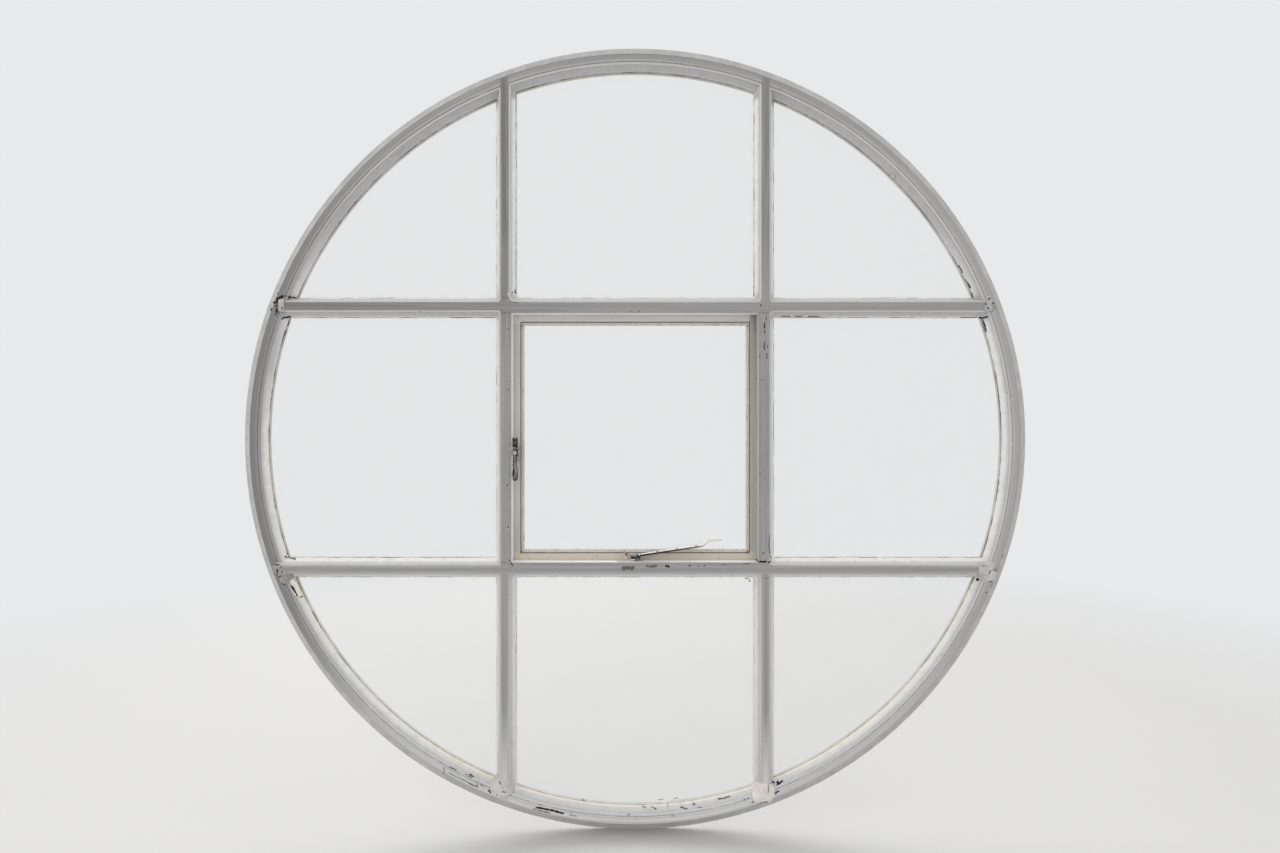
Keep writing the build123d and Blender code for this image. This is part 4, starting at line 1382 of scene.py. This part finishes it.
def slottedScrew(bm, shank, turn):
    # upright screw with its head's foot at z = 0
    before = set(bm.verts)
    core = screw["shankRadius"]
    turned(bm, [*screw["profile"], (core, 0), (core, -shank), (0, -shank)], screw["turns"])
    made = [v for v in bm.verts if v not in before]
    ops.remove_doubles(bm, verts=made, dist=0.001)
    for side in (-1, 1):
        for offset in (screw["slotHalf"], screw["slotHalf"] + screw["slotSide"]):
            made = [v for v in bm.verts if v not in before]
            parts = dict.fromkeys(part for v in made for part in (*v.link_edges, *v.link_faces))
            ops.bisect_plane(bm, geom=[*made, *parts], dist=0.0001,
                             plane_co=(0, side * offset, 0), plane_no=(0, 1, 0))
    made = [v for v in bm.verts if v not in before]
    for vert in made:
        if abs(vert.co.y) < screw["slotHalf"] + 0.01 and vert.co.z > screw["slotFloor"]:
            vert.co.z = screw["slotFloor"]
    turnBy(bm, made, turn, "Z")
    return made


def screwSet(kind, name, material, body):
    facts = screw[kind]
    bm = bmesh.new()
    for place, turn in zip(facts["places"], facts["slotTurns"]):
        made = slottedScrew(bm, facts["shank"], turn)
        turnBy(bm, made, facts["lean"], "X")
        ops.translate(bm, verts=made, vec=place)
    toMetres(bm)
    return newPiece(name, bm, material, body)


sashScrews = screwSet("sash", "sash_slotted_screws", metals["painted_plate"], "sash")
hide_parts("sash_screws")
pegScrews = screwSet("peg", "peg_slotted_screws", metals["painted_ironmongery"], "frame")
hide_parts("peg_plate_screws")
print("screws ready")

# Pale floor and backdrop in one sweep
studio = {
    "floorRadius": 4.2,
    "sweep": 1.6,
    "sweepSteps": 8,
    "rise": 5.5,
    "turns": 96,
    "floor": (203, 203, 203),
    "backdrop": (232, 233, 234),
    "fade": (2.0, 3.6),
}


def studioSweep():
    floorZ = cadBox[0].z
    line = [(0, floorZ)]
    for step in range(studio["sweepSteps"] + 1):
        turn = math.radians(90 * step / studio["sweepSteps"] - 90)
        line.append((studio["floorRadius"] + math.cos(turn) * studio["sweep"],
                     floorZ + (1 + math.sin(turn)) * studio["sweep"]))
    line.append((line[-1][0], line[-1][1] + studio["rise"]))
    bm = bmesh.new()
    turned(bm, line, studio["turns"])
    ops.remove_doubles(bm, verts=bm.verts, dist=0.0001)
    ops.recalc_face_normals(bm, faces=bm.faces)
    ops.reverse_faces(bm, faces=[f for f in bm.faces if f.normal.z < 0])
    material, wires, point, x, y, z = newMaterial("studio_pale")
    camera, glossy, transmission = (
        wires.node("LightPath", output=f"Is {kind} Ray")
        for kind in ("Camera", "Glossy", "Transmission")
    )
    seen = camera.most(glossy).most(transmission)
    fade = (x * x + y * y).power(0.5).ramp(*studio["fade"])
    floor = wires.node("BsdfDiffuse", {"Color": srgb(*studio["floor"])})
    glow = wires.node("Emission", {"Color": srgb(*studio["backdrop"]), "Strength": 1.0})
    through = wires.node("BsdfTransparent")
    far = wires.node("MixShader", {0: seen, 1: through, 2: glow})
    whole = wires.node("MixShader", {0: fade, 1: floor, 2: far})
    wires.node("OutputMaterial", {"Surface": whole})
    sweep = meshObject("studio_sweep", bm, material)


studioSweep()

# Soft light, stronger from behind than from in front. Lamps: power, size and place
daylight = {
    "tint": (254, 253, 252),
    "strength": (-0.35, 0.35, 0.74, 1.22),
    "sky": (130, 4.0, (-0.8, 3.4, 3.6)),
    "front": (32, 3.0, (-1.6, -3.2, 2.2)),
}


def softWorld():
    world = bpy.data.worlds.new("soft_daylight")
    wires = emptyTree(world)
    direction = wires.node("TexCoord", output=0)
    towards = wires.node("SeparateXYZ", {0: direction}, output=1)
    strength = towards.ramp(*daylight["strength"])
    sockets = {"Color": srgb(*daylight["tint"]), "Strength": strength}
    light = wires.node("Background", sockets)
    wires.node("OutputWorld", {"Surface": light})
    bpy.context.scene.world = world


def softLamp(name, power, size, place):
    lamp = bpy.data.lights.new(name, "AREA")
    lamp.energy = power
    lamp.size = size
    holder = linked(name, lamp)
    holder.location = place
    holder.rotation_euler = (-Vector(place)).to_track_quat("-Z", "Y").to_euler()
    holder.visible_glossy = False


softWorld()
softLamp("sky_light", *daylight["sky"])
softLamp("front_light", *daylight["front"])

# Camera where the photograph was taken from, level and straight on
view = {
    "place": (0.0115, -1.536, 0.0287),
    "sensor": 36,
    "lens": 18.39,
}
camera = bpy.data.cameras.new("photo_camera")
camera.sensor_width = view["sensor"]
camera.lens = view["lens"]
cameraHolder = linked("photo_camera", camera)
cameraHolder.location = view["place"]
cameraHolder.rotation_euler = (math.radians(90), 0, 0)
bpy.context.scene.camera = cameraHolder
bpy.context.scene.view_settings.view_transform = "Standard"
print("studio ready")
